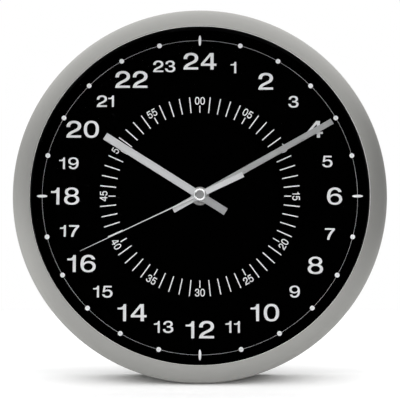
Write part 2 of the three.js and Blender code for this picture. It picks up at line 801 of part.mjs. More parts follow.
const tubeFront = motionLevel + levelGap;
const centreWheel = cut(
  join(
    gear(teeth.centreWheel, centreModule,
      meshing(fromThird, teeth.thirdPinion, teeth.centreWheel, fromThird), centreLevel),
    disc(centreTubeRadius, tubeFront, centreLevel + wheelThickness / 2, shaftSides),
  ),
  disc(arborBore, tubeFront - past, centreLevel + wheelThickness + past, shaftSides),
);
piece(movement, "centre_wheel", centreWheel, whitePlastic());

// Motion work: cannon pinion with the minute pipe, motion wheel, hour wheel with the hour pipe
const toMotion = directionTo(handAxis, motionAxis);
const fromMotion = directionTo(motionAxis, handAxis);
const motionPhase = meshing(toMotion, teeth.cannon, teeth.motionWheel, toMotion);
const minutePipeFront = minuteHandFront - colletLip;
const hourPipeFront = hourHandFront - colletLip;
const motionWheel = join(
  gear(teeth.motionWheel, motionModule, motionPhase, motionLevel),
  gear(teeth.motionPinion, hourModule, fromMotion, hourLevel),
  stepped(movementFront + 3 * seat, [[pivotRadius, roomFront + seat], [arborRadius, trainPlateFront - seat],
    [pivotRadius, trainPlateBack - seat]]),
);
piece(movement, "motion_wheel", motionWheel, whitePlastic()).position.set(motionAxis[0], 0, motionAxis[1]);

// Setting shaft in mesh with the motion wheel, and its knob behind the cover
const settingPhase = meshing(motionPhase, teeth.motionWheel, teeth.setting,
  directionTo(motionAxis, settingAxis));
const shaftBack = knobFront + knobHeight / 2;
const settingShaft = join(
  gear(teeth.setting, motionModule, settingPhase, motionLevel),
  stepped(movementFront + 3 * seat, [[pivotRadius, roomFront + seat], [settingRadius, shaftBack]]),
);
function knobGeometry() {
  const rim = Array.from({ length: 2 * knobFlutes }, (_, i) => {
    const radius = knobRadius - (i % 2) * fluteDepth;
    const angle = (Math.PI * i) / knobFlutes;
    return new THREE.Vector2(radius * Math.cos(angle), radius * Math.sin(angle));
  });
  const socket = disc(bore(settingRadius, press), knobFront - past, shaftBack + seat, shaftSides);
  return cut(plate(new THREE.Shape(rim), knobFront, knobBack), socket);
}
const setting = new THREE.Group();
setting.position.set(settingAxis[0], 0, settingAxis[1]);
movement.add(setting);
piece(setting, "setting_shaft", settingShaft, whitePlastic());
piece(setting, "setting_knob", knobGeometry(), whitePlastic());

// Battery in its bay, and the strips that lead from its ends up to the circuit board
const halfBattery = batteryLength / 2;
const cell = new THREE.LatheGeometry(
  [[0, -halfBattery], [batteryRadius, -halfBattery], [batteryRadius, halfBattery - nubLength],
    [nubRadius, halfBattery - nubLength], [nubRadius, halfBattery], [0, halfBattery]]
    .map(([radius, along]) => new THREE.Vector2(radius, along)),
  washerSides,
);
cell.rotateZ(-Math.PI / 2);
piece(movement, "battery", cell, batterySleeve()).position.set(0, batteryDepth, batteryHeight);
const byWall = roomSide - seat - contactThickness / 2;
const byBattery = halfBattery + seat + contactThickness;
const overPartition = roomBottom + seat + contactThickness / 2;
const byBoard = boardRight + 2 * seat + contactThickness / 2;
const dimpleTop = dimpleHeight / 2;
const dimpleFoot = dimpleTop + dimpleRamp;
const positiveEnd = [
  [byWall, batteryHeight - dimpleFoot - contactFoot], [byWall, batteryHeight - dimpleFoot],
  [byBattery, batteryHeight - dimpleTop], [byBattery, batteryHeight + dimpleTop],
  [byWall, batteryHeight + dimpleFoot],
];
const negativeEnd = positiveEnd.map(([x, z]) => [-x, z]);
const positiveLine = [
  ...positiveEnd, [byWall, boardTop - boardLap], [byBoard - contactThickness / 2, boardTop - boardLap],
];
const negativeLine = [
  ...negativeEnd, [-byWall, overPartition], [byBoard, overPartition], [byBoard, boardBottom + boardLap],
];
piece(movement, "battery_contact_positive",
  plate(strip(positiveLine, contactThickness), contactFront, contactBack), spring());
piece(movement, "battery_contact_negative",
  plate(strip(negativeLine, contactThickness), contactFront, contactBack), spring());

// Hands: a straight bar with a hub disc, turned to its time, on a collet that grips its pipe
function handGeometry(width, length, tail, tailWidth, hole, front, back) {
  const bar = block(-width / 2, 0, width / 2, length, front, back);
  const rear = block(-tailWidth / 2, -tail, tailWidth / 2, 0, front, back);
  const hub = disc(hole + hubWall, front, back, washerSides);
  return cut(join(bar, rear, hub), disc(hole, front - past, back + past, shaftSides));
}
function handGroup(degrees) {
  const group = new THREE.Group();
  group.rotation.y = THREE.MathUtils.degToRad(degrees);
  clock.add(group);
  return group;
}

const hourGroup = handGroup(handAngle.hour);
const hourColletBore = bore(hourPipeRadius, press);
const hourColletRadius = hourColletBore + colletWall;
piece(hourGroup, "hour_hand",
  handGeometry(handWidth.hour, hourHandLength, handTail.hour, handWidth.hour,
    bore(hourColletRadius, press), hourHandFront, hourHandBack), brushedHand());
piece(hourGroup, "hour_collet",
  ring(hourColletBore, hourColletRadius, hourPipeFront, hourHandBack + colletLip, shaftSides), brass());
const hourWheel = cut(
  join(
    gear(teeth.hourWheel, hourModule,
      meshing(fromMotion, teeth.motionPinion, teeth.hourWheel, fromMotion), hourLevel),
    disc(hourPipeRadius, hourPipeFront, hourLevel + wheelThickness / 2, shaftSides),
  ),
  disc(hourPipeBore, hourPipeFront - past, hourLevel + wheelThickness + past, shaftSides),
);
piece(movement, "hour_wheel", hourWheel, whitePlastic());

const minuteGroup = handGroup(handAngle.minute);
const minuteColletBore = bore(minutePipeRadius, press);
const minuteColletRadius = minuteColletBore + colletWall;
piece(minuteGroup, "minute_hand",
  handGeometry(handWidth.minute, minuteHandLength, handTail.minute, handWidth.minute,
    bore(minuteColletRadius, press), minuteHandFront, minuteHandBack), brushedHand());
piece(minuteGroup, "minute_collet",
  ring(minuteColletBore, minuteColletRadius, minutePipeFront, minuteHandBack + colletLip, shaftSides),
  brass());
const cannonPinion = cut(
  join(
    gear(teeth.cannon, motionModule, toMotion, motionLevel),
    disc(minutePipeRadius, minutePipeFront, motionLevel + wheelThickness / 2, shaftSides),
  ),
  stepped(minutePipeFront - past, [[arborBore, tubeFront - seat], [cannonBore, trainPlateFront]]),
);
piece(movement, "cannon_pinion", cannonPinion, whitePlastic());

// Second hand: thin rod and broad counterweight on a socket, under a polished cap
const secondGroup = handGroup(handAngle.second);
const arborFront = secondHandFront + seat / 2;
const socketBack = minutePipeFront - 3 * seat;
const socketBore = bore(secondArborRadius, press);
piece(secondGroup, "second_hand",
  handGeometry(handWidth.second, secondHandLength, handTail.second, handWidth.counterweight,
    socketBore, secondHandFront, secondHandBack), brushedHand());
piece(secondGroup, "second_socket",
  ring(socketBore, socketRadius, secondHandBack + seat, socketBack, shaftSides), brass());
const cap = turned([
  [0, capFront + capRecessDepth], [capRecessRadius, capFront + capRecessDepth], [capRecessRadius, capFront],
  [capRadius - capBevel, capFront], [capRadius, capFront + capBevel], [capRadius, capBack], [0, capBack],
], washerSides);
piece(secondGroup, "second_cap", cap, polishedMetal());
const secondWheel = join(
  gear(teeth.secondWheel, secondModule,
    meshing(fromIntermediate, teeth.intermediatePinion, teeth.secondWheel, fromIntermediate), secondLevel),
  gear(teeth.secondPinion, thirdModule, toThird, thirdLevel),
  stepped(arborFront, [[secondArborRadius, bossFront - seat], [pivotRadius, pivotEnd]]),
);
piece(movement, "second_wheel", secondWheel, whitePlastic());

// The nail seat comes to the origin
clock.position.set(0, -(backFront + backRear) / 2, -nailSeatHeight);

const wallClock = new THREE.Group();
wallClock.add(clock);

export default wallClock;
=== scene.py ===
# Twenty-four hour wall clock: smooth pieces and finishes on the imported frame
import math

import bmesh
import bpy
from mathutils import Matrix, Vector


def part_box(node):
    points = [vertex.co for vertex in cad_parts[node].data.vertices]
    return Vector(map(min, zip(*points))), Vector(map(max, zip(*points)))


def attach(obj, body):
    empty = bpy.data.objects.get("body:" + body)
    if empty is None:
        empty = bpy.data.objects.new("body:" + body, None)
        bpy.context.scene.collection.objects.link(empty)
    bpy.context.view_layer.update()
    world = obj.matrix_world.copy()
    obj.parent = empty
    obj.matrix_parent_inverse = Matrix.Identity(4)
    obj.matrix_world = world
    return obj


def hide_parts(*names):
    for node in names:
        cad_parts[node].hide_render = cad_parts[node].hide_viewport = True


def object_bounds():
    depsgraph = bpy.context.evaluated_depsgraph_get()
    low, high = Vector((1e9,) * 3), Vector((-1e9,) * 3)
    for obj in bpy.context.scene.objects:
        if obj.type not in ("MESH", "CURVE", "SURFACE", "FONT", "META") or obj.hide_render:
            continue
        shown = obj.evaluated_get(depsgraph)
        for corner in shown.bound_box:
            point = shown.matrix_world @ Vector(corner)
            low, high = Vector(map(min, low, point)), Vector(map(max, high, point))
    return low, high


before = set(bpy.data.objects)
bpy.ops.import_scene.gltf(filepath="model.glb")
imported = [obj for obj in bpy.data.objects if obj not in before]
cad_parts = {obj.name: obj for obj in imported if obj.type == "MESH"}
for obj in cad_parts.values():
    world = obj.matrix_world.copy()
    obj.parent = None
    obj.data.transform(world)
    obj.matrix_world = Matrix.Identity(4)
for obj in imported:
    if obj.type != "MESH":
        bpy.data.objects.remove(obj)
cad_low, cad_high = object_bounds()

# Camera
# Square on to the clock from a metre away and five degrees below the middle of the dial,
# with a long lens that fills the square picture with the rim.
dial_low, dial_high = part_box("dial")
dial_centre = Vector((
    (dial_low[0] + dial_high[0]) / 2,
    dial_low[1],
    (dial_low[2] + dial_high[2]) / 2,
))
view_distance = 1.0
view_below = math.radians(5)
aim_offset = Vector((0.00009, 0, -0.0031))


def added(name, data):
    """A new object in the scene."""
    item = bpy.data.objects.new(name, data)
    bpy.context.scene.collection.objects.link(item)
    return item


camera = added("camera", bpy.data.cameras.new("camera"))
camera.data.sensor_width = 36
camera.data.lens = 110.56
camera.location = dial_centre - view_distance * Vector((0, math.cos(view_below), math.sin(view_below)))
look = dial_centre + aim_offset - camera.location
camera.rotation_euler = look.to_track_quat("-Z", "Y").to_euler()
bpy.context.scene.camera = camera
bpy.context.scene.view_settings.view_transform = "Standard"

# Studio
# A pale floor that the rim stands on, a broad light from the front and one from above, a soft one low
# on the left, and white all round but for a black flag on the right.
floor_half_width = 4.0
floor_ends = (-4.0, 8.0)
floor_ramp = 0.05
floor_slope = math.radians(10)
floor_contact = -0.034
floor_tone = 0.85
floor_shown = 1.08
floor_mirrored = 1.35
floor_steps = 24
half_columns = 15
ambient = 0.1
front_strength = 0.8
front_angle = 14
front_height = 5
front_side = -5
overhead_strength = 3.2
overhead_angle = 120
overhead_height = 80
left_power = 0.35
left_size = 0.2
left_place = Vector((-0.35, -0.35, -0.1))
flag_place = Vector((0.47, -0.8, 0))
flag_turn = math.radians(75)
flag_half_width = 0.62
flag_heights = (-0.15, 0.4)


def node(tree, kind, inputs, **settings):
    """Adds a shader node, sets its options, and links or sets its inputs."""
    made = tree.nodes.new("ShaderNode" + kind)
    for option, value in settings.items():
        setattr(made, option, value)
    for socket, value in inputs.items():
        if isinstance(value, bpy.types.NodeSocket):
            tree.links.new(value, made.inputs[socket])
        else:
            made.inputs[socket].default_value = value
    return made


def calculate(tree, operation, *values):
    """One Math node's result."""
    return node(tree, "Math", dict(enumerate(values)), operation=operation).outputs[0]


def new_material(name, **sockets):
    """A material, its node tree and its Principled BSDF, with that shader's plain values set."""
    material = bpy.data.materials.new(name)
    material.use_nodes = True
    shader = material.node_tree.nodes["Principled BSDF"]
    for socket, value in sockets.items():
        shader.inputs[socket.replace("_", " ")].default_value = value
    return material, material.node_tree, shader


def grey(tone):
    return (tone, tone, tone, 1)


def studio_sheet(name, rows, material):
    """A sheet of the studio through rows of points."""
    wide = len(rows[0])
    faces = [(k, k + 1, k + 1 + wide, k + wide)
             for row in range(len(rows) - 1) for k in range(row * wide, row * wide + wide - 1)]
    mesh = bpy.data.meshes.new(name)
    mesh.from_pydata([point for row in rows for point in row], [], faces)
    mesh.shade_smooth()
    mesh.materials.append(material)
    sheet = added(name, mesh)
    return sheet


world = bpy.data.worlds.new("studio")
world.use_nodes = True
bpy.context.scene.world = world
sky = world.node_tree
rays = node(sky, "LightPath", {}).outputs
shown = calculate(sky, "MAXIMUM", rays["Is Camera Ray"], rays["Is Transmission Ray"])
shown = calculate(sky, "MAXIMUM", shown, rays["Is Glossy Ray"])
strength = node(sky, "MapRange", {"Value": shown, "To Min": ambient, "To Max": 1.0}).outputs[0]
sky.links.new(strength, sky.nodes["Background"].inputs["Strength"])
sky.nodes["Background"].inputs["Color"].default_value = grey(1)

floor_paint, floor_tree, floor_shader = new_material("floor_paint", Roughness=0.9, Specular_IOR_Level=0.0)
floor_rays = node(floor_tree, "LightPath", {}).outputs
floor_colour = node(floor_tree, "MapRange", {
    "Value": floor_rays["Is Camera Ray"], "To Min": floor_tone, "To Max": floor_shown,
}).outputs[0]
floor_colour = node(floor_tree, "MapRange", {
    "Value": floor_rays["Is Glossy Ray"], "To Min": floor_colour, "To Max": floor_mirrored,
}).outputs[0]
floor_tree.links.new(floor_colour, floor_shader.inputs["Base Color"])
floor_reach = cad_high.x
floor_columns = [
    -floor_half_width,
    *(floor_reach * (step / half_columns - 1) for step in range(2 * half_columns + 1)),
    floor_half_width,
]


def floor_point(x, y):
    """A point of the floor, which slopes up under the rim but stays below it."""
    along = max(-1, min(1, (y - floor_contact) / floor_ramp))
    rise = floor_ramp * math.tan(floor_slope) * (1.5 * along - 0.5 * along ** 3) / 1.5
    under = floor_reach - math.sqrt(max(0, floor_reach ** 2 - x ** 2))
    behind = max(0, y - cad_high.y) * math.tan(floor_slope)
    return (x, y, cad_low.z + min(rise, under + behind))


floor_rows = [floor_contact + floor_ramp * (2 * step / floor_steps - 1) for step in range(floor_steps + 1)]
studio_sheet("floor", [
    [floor_point(x, y) for x in floor_columns] for y in (floor_ends[0], *floor_rows, floor_ends[1])
], floor_paint)

flag_paint, _, _ = new_material("flag_paint", Base_Color=grey(0.0), Roughness=1.0, Specular_IOR_Level=0.0)
flag = studio_sheet("flag", [
    [(side * flag_half_width, 0, dial_centre.z + height) for side in (-1, 1)] for height in flag_heights
], flag_paint)
flag.location = flag_place
flag.rotation_euler = (0, 0, flag_turn)
flag.visible_camera = False
flag.visible_diffuse = False
flag.visible_shadow = False


def broad_light(name, strength, spread, height, side):
    """A distant soft light at a height above the horizon and to one side of the front, in degrees."""
    light = bpy.data.lights.new(name, "SUN")
    light.energy = strength
    light.angle = math.radians(spread)
    lamp = added(name, light)
    lamp.rotation_euler = (math.radians(90 - height), 0, math.radians(side))
    return lamp


front_lamp = broad_light("front", front_strength, front_angle, front_height, front_side)
front_lamp.visible_glossy = False
front_lamp.visible_transmission = False
broad_light("overhead", overhead_strength, overhead_angle, overhead_height, 0)

left = bpy.data.lights.new("left", "AREA")
left.energy = left_power
left.size = left_size
left_lamp = added("left", left)
left_lamp.location = dial_centre + left_place
left_lamp.rotation_euler = (-left_place).to_track_quat("-Z", "Y").to_euler()
left_lamp.visible_diffuse = False

# Rim
# One ring spun from aluminium sheet: a narrow lip, a domed band, a straight skirt and a flange turned in
# behind. It is brushed around in a lathe to a satin finish, and the lip's inner wall is coloured lighter as a
# painted highlight.
MM = 0.001
rim_radius = 150
rim_opening = 135.5
rim_wall = 1.5
rim_front = -23.7
rim_edge = 0.45
lip_back = -21.1
lip_wall = 0.25
lip_slack = 0.02
dome_width = 13
dome_depth = 9
skirt_back = 20.0
flange_radius = 140
skirt_bend = 1.2
rim_colour = (0.317, 0.316, 0.3045, 1)
rim_edge_tint = grey(0.8)
rim_spread = 0.8
lip_highlight_colour = (0.8, 0.8, 0.78, 1)
rim_roughness = 0.6
marks_across = 4500
marks_around = 2.5
crease_angle = 38
level_face = 0.9999


def arc(radius, depth, across, along, start, end, steps):
    """Points along part of an ellipse about (radius, depth), angles in degrees."""
    points = []
    for step in range(steps + 1):
        angle = math.radians(start + (end - start) * step / steps)
        points.append((radius + across * math.cos(angle), depth + along * math.sin(angle)))
    return points


def turned(outline, steps=192):
    """A mesh turned about the hand axis from a closed outline of (radius, depth) points, in mm."""
    form = bmesh.new()
    rings = []
    for radius, depth in outline:
        if radius == 0:
            rings.append([form.verts.new((0, depth, 0))])
            continue
        turn = [2 * math.pi * step / steps for step in range(steps)]
        rings.append([form.verts.new((radius * math.sin(a), depth, radius * math.cos(a))) for a in turn])
    for ring, following in zip(rings, rings[1:] + rings[:1]):
        for step in range(steps):
            after = (step + 1) % steps
            corners = [ring[step % len(ring)], ring[after % len(ring)],
                       following[after % len(following)], following[step % len(following)]]
            corners = list(dict.fromkeys(corners))
            if len(corners) > 2:
                form.faces.new(corners)
    return to_mesh(form)


def to_mesh(form):
    """Closes a form in mm into a mesh in metres."""
    bmesh.ops.recalc_face_normals(form, faces=form.faces)
    mesh = bpy.data.meshes.new("form")
    form.to_mesh(mesh)
    form.free()
    mesh.transform(Matrix.Scale(MM, 4))
    return mesh


def placed(name, mesh, material, turn=0.0):
    """Puts a mesh on the hand axis at the dial's face, turned clockwise by an angle in degrees."""
    mesh.name = name
    mesh.materials.append(material)
    mesh.shade_smooth()
    mesh.set_sharp_from_angle(angle=math.radians(crease_angle))
    for face in mesh.polygons:
        face.use_smooth = abs(face.normal.y) < level_face
    item = added(name, mesh)
    item.location = dial_centre
    item.rotation_euler = (0, math.radians(turn), 0)
    return item


def node_group(name, inputs, outputs):
    """A shader node group with named sockets: its tree, what comes in, and what goes out."""
    tree = bpy.data.node_groups.new(name, "ShaderNodeTree")
    for direction, sockets in (("INPUT", inputs), ("OUTPUT", outputs)):
        for socket, kind in sockets.items():
            tree.interface.new_socket(name=socket, in_out=direction, socket_type="NodeSocket" + kind)
    return tree, tree.nodes.new("NodeGroupInput").outputs, tree.nodes.new("NodeGroupOutput").inputs


def object_spot(tree):
    """Where a shaded spot lies on its object."""
    return node(tree, "TexCoord", {}).outputs["Object"]


def varied(tree, given, made, swing, polish, height):
    """Ends an effect that varies its colour by a swing and its roughness by a polish."""
    value = calculate(tree, "ADD", swing, 1.0)
    tint = node(tree, "HueSaturation", {"Value": value, "Color": given["Colour"]}).outputs[0]
    tree.links.new(tint, made["Colour"])
    tree.links.new(calculate(tree, "ADD", given["Roughness"], polish), made["Roughness"])
    tree.links.new(height, made["Height"])


turning, _, turning_out = node_group("turning_lines", {}, {"Vector": "Vector"})
axes = node(turning, "SeparateXYZ", {0: object_spot(turning)}).outputs
flat_spot = node(turning, "CombineXYZ", {"X": axes["X"], "Z": axes["Z"]}).outputs[0]
reach = node(turning, "VectorMath", {0: flat_spot}, operation="LENGTH").outputs["Value"]
heading = node(turning, "VectorMath", {0: flat_spot}, operation="NORMALIZE").outputs["Vector"]
heading = node(turning, "SeparateXYZ", {0: heading}).outputs
across = calculate(turning, "MULTIPLY", calculate(turning, "ADD", reach, axes["Y"]), marks_across)
line = node(turning, "CombineXYZ", {
    "X": across,
    "Y": calculate(turning, "MULTIPLY", heading["X"], marks_around),
    "Z": calculate(turning, "MULTIPLY", heading["Z"], marks_around),
}).outputs[0]
turning.links.new(line, turning_out["Vector"])

brushing, brushing_in, brushing_out = node_group(
    "brush_marks",
    {"Vector": "Vector", "Colour": "Color", "Roughness": "Float", "Contrast": "Float"},
    {"Colour": "Color", "Roughness": "Float", "Height": "Float"},
)
marks = node(brushing, "TexNoise", {"Vector": brushing_in["Vector"], "Scale": 1.0, "Detail": 3.0}).outputs[0]
swing = calculate(brushing, "MULTIPLY", calculate(brushing, "SUBTRACT", marks, 0.5), brushing_in["Contrast"])
varied(brushing, brushing_in, brushing_out, swing, swing, marks)


def dressed(tree, shader, effect, depth):
    """Feeds a shader with an effect's colour, roughness and height, and returns the bump."""
    tree.links.new(effect["Colour"], shader.inputs["Base Color"])
    tree.links.new(effect["Roughness"], shader.inputs["Roughness"])
    bump = node(tree, "Bump", {"Height": effect["Height"], "Distance": depth})
    tree.links.new(bump.outputs["Normal"], shader.inputs["Normal"])
    return bump


def brushed(tree, shader, vector, colour, roughness, contrast, depth):
    """Lays brush marks along a vector on a metal."""
    marks = node(tree, "Group", {
        "Vector": vector, "Colour": colour, "Roughness": roughness, "Contrast": contrast,
    }, node_tree=brushing)
    return dressed(tree, shader, marks.outputs, depth)


def turned_metal(name, colour, roughness, contrast, depth, **sockets):
    """A metal with turning marks around the hand axis."""
    material, tree, shader = new_material(name, Metallic=1.0, **sockets)
    lines = node(tree, "Group", {}, node_tree=turning)
    brushed(tree, shader, lines.outputs["Vector"], colour, roughness, contrast, depth)
    around = node(tree, "Tangent", {}, direction_type="RADIAL", axis="Y")
    tree.links.new(around.outputs[0], shader.inputs["Tangent"])
    return material


satin_rim = turned_metal("satin_rim", rim_colour, rim_roughness, 0.10, 0.00001, Specular_Tint=rim_edge_tint,
                         Anisotropic=rim_spread, Anisotropic_Rotation=0.25)
dome_back = rim_front + dome_depth
inside_radius = rim_radius - rim_wall
rim_outline = [
    (rim_opening + lip_wall, rim_front + rim_wall),
    (rim_opening + lip_wall, lip_back),
    (rim_opening, lip_back),
    *arc(rim_opening + rim_edge, rim_front + rim_edge, rim_edge, rim_edge, 180, 270, 4),
    *arc(rim_radius - dome_width, dome_back, dome_width, dome_depth, -90, 0, 24),
    *arc(rim_radius - skirt_bend, skirt_back - skirt_bend, skirt_bend, skirt_bend, 0, 90, 6),
    (flange_radius, skirt_back),
    (flange_radius, skirt_back - rim_wall),
    (inside_radius, skirt_back - rim_wall),
    *arc(rim_radius - dome_width, dome_back, dome_width - rim_wall, dome_depth - rim_wall, 0, -90, 12),
]
rim = placed("rim_shell", turned(rim_outline, 256), satin_rim)
# The lip's inner wall takes the same metal in a much lighter colour: a painted highlight.
rim.data.materials.append(turned_metal("lip_painted_highlight", lip_highlight_colour, 0.8, 0.06, 0.000004))
for face in rim.data.polygons:
    if face.center.xz.length < (rim_opening + lip_slack) * MM:
        face.material_index = 1
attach(rim, "case")
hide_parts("rim")

# Lens and its gasket
# A flat disc of clear glass with its edge ground round, coated so that it mirrors only at a slant.
# It is held against a rubber ring behind the lip.
lens_radius = 139
lens_front = -21.0
lens_back = -18.5
lens_edge = 0.4
gasket_inside = 135.8
gasket_outside = 137.9
gasket_front = -22.0
gasket_back = -21.2
gasket_round = 0.3
gasket_crown = 0.1
glass_colour = (0.985, 0.99, 1.0, 1)
cloud_scale = 60.0
polish_swing = 0.3


def ring_of(inside, outside, front, back, edge):
    """Outline of a turned disc or ring with its outer corners taken off."""
    return [(inside, front), (outside - edge, front), (outside, front + edge),
            (outside, back - edge), (outside - edge, back), (inside, back)]


clear_glass, glass_tree, glass_shader = new_material(
    "clear_glass", Base_Color=glass_colour, Transmission_Weight=1.0, Roughness=0.0, IOR=1.45,
    Specular_Tint=grey(0.0))
glass_rays = node(glass_tree, "LightPath", {}).outputs
see_through = node(glass_tree, "BsdfTransparent", {})
glass_mix = node(glass_tree, "MixShader", {
    0: glass_rays["Is Shadow Ray"], 1: glass_shader.outputs[0], 2: see_through.outputs[0],
})
glass_tree.links.new(glass_mix.outputs[0], glass_tree.nodes["Material Output"].inputs["Surface"])
lens_outline = ring_of(0, lens_radius, lens_front, lens_back, lens_edge)
lens = placed("lens_disc", turned(lens_outline), clear_glass)

# The left lamp lights everything but the lens
lens_alone = bpy.data.collections.new("lens_alone")
lens_alone.objects.link(lens)
lens_alone.collection_objects[0].light_linking.link_state = "EXCLUDE"
left_lamp.light_linking.receiver_collection = lens_alone
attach(lens, "case")
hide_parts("lens")

grain, grain_in, grain_out = node_group(
    "moulded_grain",
    {"Colour": "Color", "Roughness": "Float", "Size": "Float", "Contrast": "Float"},
    {"Colour": "Color", "Roughness": "Float", "Height": "Float"},
)
grain_spot = object_spot(grain)
grain_scale = calculate(grain, "DIVIDE", 1.0, grain_in["Size"])
pits = node(grain, "TexNoise", {"Vector": grain_spot, "Scale": grain_scale, "Detail": 2.0}).outputs[0]
clouds = node(grain, "TexNoise", {"Vector": grain_spot, "Scale": cloud_scale, "Detail": 2.0}).outputs[0]
mixed = calculate(grain, "SUBTRACT", calculate(grain, "ADD", pits, clouds), 1.0)
swing = calculate(grain, "MULTIPLY", mixed, grain_in["Contrast"])
varied(grain, grain_in, grain_out, swing, calculate(grain, "MULTIPLY", swing, polish_swing), pits)


def moulded(name, colour, roughness, size=0.0006, contrast=0.25, depth=0.00003, **sockets):
    """A plastic, rubber or paint with a fine grain."""
    material, tree, shader = new_material(name, **sockets)
    pits = node(tree, "Group", {
        "Colour": colour, "Roughness": roughness, "Size": size, "Contrast": contrast,
    }, node_tree=grain)
    dressed(tree, shader, pits.outputs, depth)
    return material


gasket_outline = [
    (gasket_inside, gasket_front + gasket_crown), (gasket_inside + gasket_round, gasket_front),
    (gasket_outside - gasket_round, gasket_front), (gasket_outside, gasket_front + gasket_crown),
    (gasket_outside, gasket_back - gasket_crown), (gasket_outside - gasket_round, gasket_back),
    (gasket_inside + gasket_round, gasket_back), (gasket_inside, gasket_back - gasket_crown),
]
black_rubber = moulded("black_rubber", grey(0.02), 0.75)
gasket = placed("gasket_ring", turned(gasket_outline), black_rubber)
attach(gasket, "case")
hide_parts("lens_gasket")

# Dial ring
# A black moulded hoop that stands between the dial and the lens.
ring_inside = 136.8
ring_outside = 139
ring_edge = 0.3
ring_front = -18.3
ring_back = -0.2
ring_outline = [
    (ring_inside, ring_back), (ring_inside, ring_front + ring_edge), (ring_inside + ring_edge, ring_front),
    (ring_outside - ring_edge, ring_front), (ring_outside, ring_front + ring_edge), (ring_outside, ring_back),
]
ring_plastic = moulded("ring_plastic", grey(0.002), 0.7, Specular_IOR_Level=0.05)
hoop = placed("dial_hoop", turned(ring_outline), ring_plastic)
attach(hoop, "case")
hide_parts("dial_ring")

# Dial
# A sheet-metal disc sprayed matt black, with a hole at the middle for the bush.
dial_radius = 139
dial_hole = 4.26
dial_thickness = 1.0
dial_outline = [(dial_hole, 0), (dial_radius, 0), (dial_radius, dial_thickness), (dial_hole, dial_thickness)]
dial_paint = moulded(
    "dial_paint", grey(0.0003), 0.75, size=0.0004, depth=0.000003, Specular_IOR_Level=0.0)
dial = placed("dial_sheet", turned(dial_outline), dial_paint)
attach(dial, "case")
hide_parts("dial")

# Printed hours, track and minutes
# White ink screened on the dial in a thin even coat: a fine hour track, dots and strokes on it in a lighter
# ink that is painted light against the rim's shade, twenty-four upright hours, tall for the even ones and set
# one by one, and an inner ring of minute strokes with small figures.
ink_height = 0.06
track_radius = 128.3
track_line = 0.17
dot_radius = 1.95
quarter_width = 2.2
quarter_length = 8.7
hour_radius = 109.6
even_height = 13.7
odd_height = 9.4
stroke_inside = 68.5
stroke_outside = 81.6
short_outside = 74.3
stroke_width = 0.85
minute_radius = 78.3
minute_height = 6.1
minute_narrow = 0.68
turned_minutes = (20, 25, 30, 35, 40)
bearing = 0.08
one_bearings = (0.03, 0.2)
ink_tone = 0.665
# Lighter ink for the dots and strokes: painted light against the shade the rim casts on them.
mark_painted_light_tone = 0.87
hours_left = 0.9
set_off = {
    0: (0, 1.5), 2: (0, -0.5), 5: (-1, 0), 7: (0.5, -2.5), 8: (-0.5, -1.5), 10: (-1.5, 0.5), 11: (-1, 0),
    12: (0, 1.5), 14: (1, 0.5), 17: (1, 0), 19: (0, -1.5), 21: (1, 0.5), 22: (-0.5, 1), 23: (0, 1),
}


def oval(x, z, half_width, half_height, power=2.0, steps=40):
    """An ellipse, or a squarer one for a higher power."""
    points = []
    for step in range(steps):
        angle = 2 * math.pi * step / steps
        c, s = math.cos(angle), math.sin(angle)
        points.append((x + half_width * math.copysign(abs(c) ** (2 / power), c),
                       z + half_height * math.copysign(abs(s) ** (2 / power), s)))
    return points


def drawn(start, *strokes, steps=10):
    """A closed outline of straight lines (x, z) and curves (two handles and an end)."""
    points = [start]
    for stroke in strokes:
        if len(stroke) == 2:
            points.append(stroke)
            continue
        here = points[-1]
        first, second, end = stroke[0:2], stroke[2:4], stroke[4:6]
        for step in range(1, steps + 1):
            t = step / steps
            weights = ((1 - t) ** 3, 3 * t * (1 - t) ** 2, 3 * t * t * (1 - t), t ** 3)
            points.append(tuple(
                sum(weight * corner[axis] for weight, corner in zip(weights, (here, first, second, end)))
                for axis in (0, 1)))
    if math.dist(points[0], points[-1]) < 1e-6:
        points.pop()
    return points


def half_turn(outlines, width):
    """The same figure upside down."""
    return [[(width - x, 1 - z) for x, z in outline] for outline in outlines]


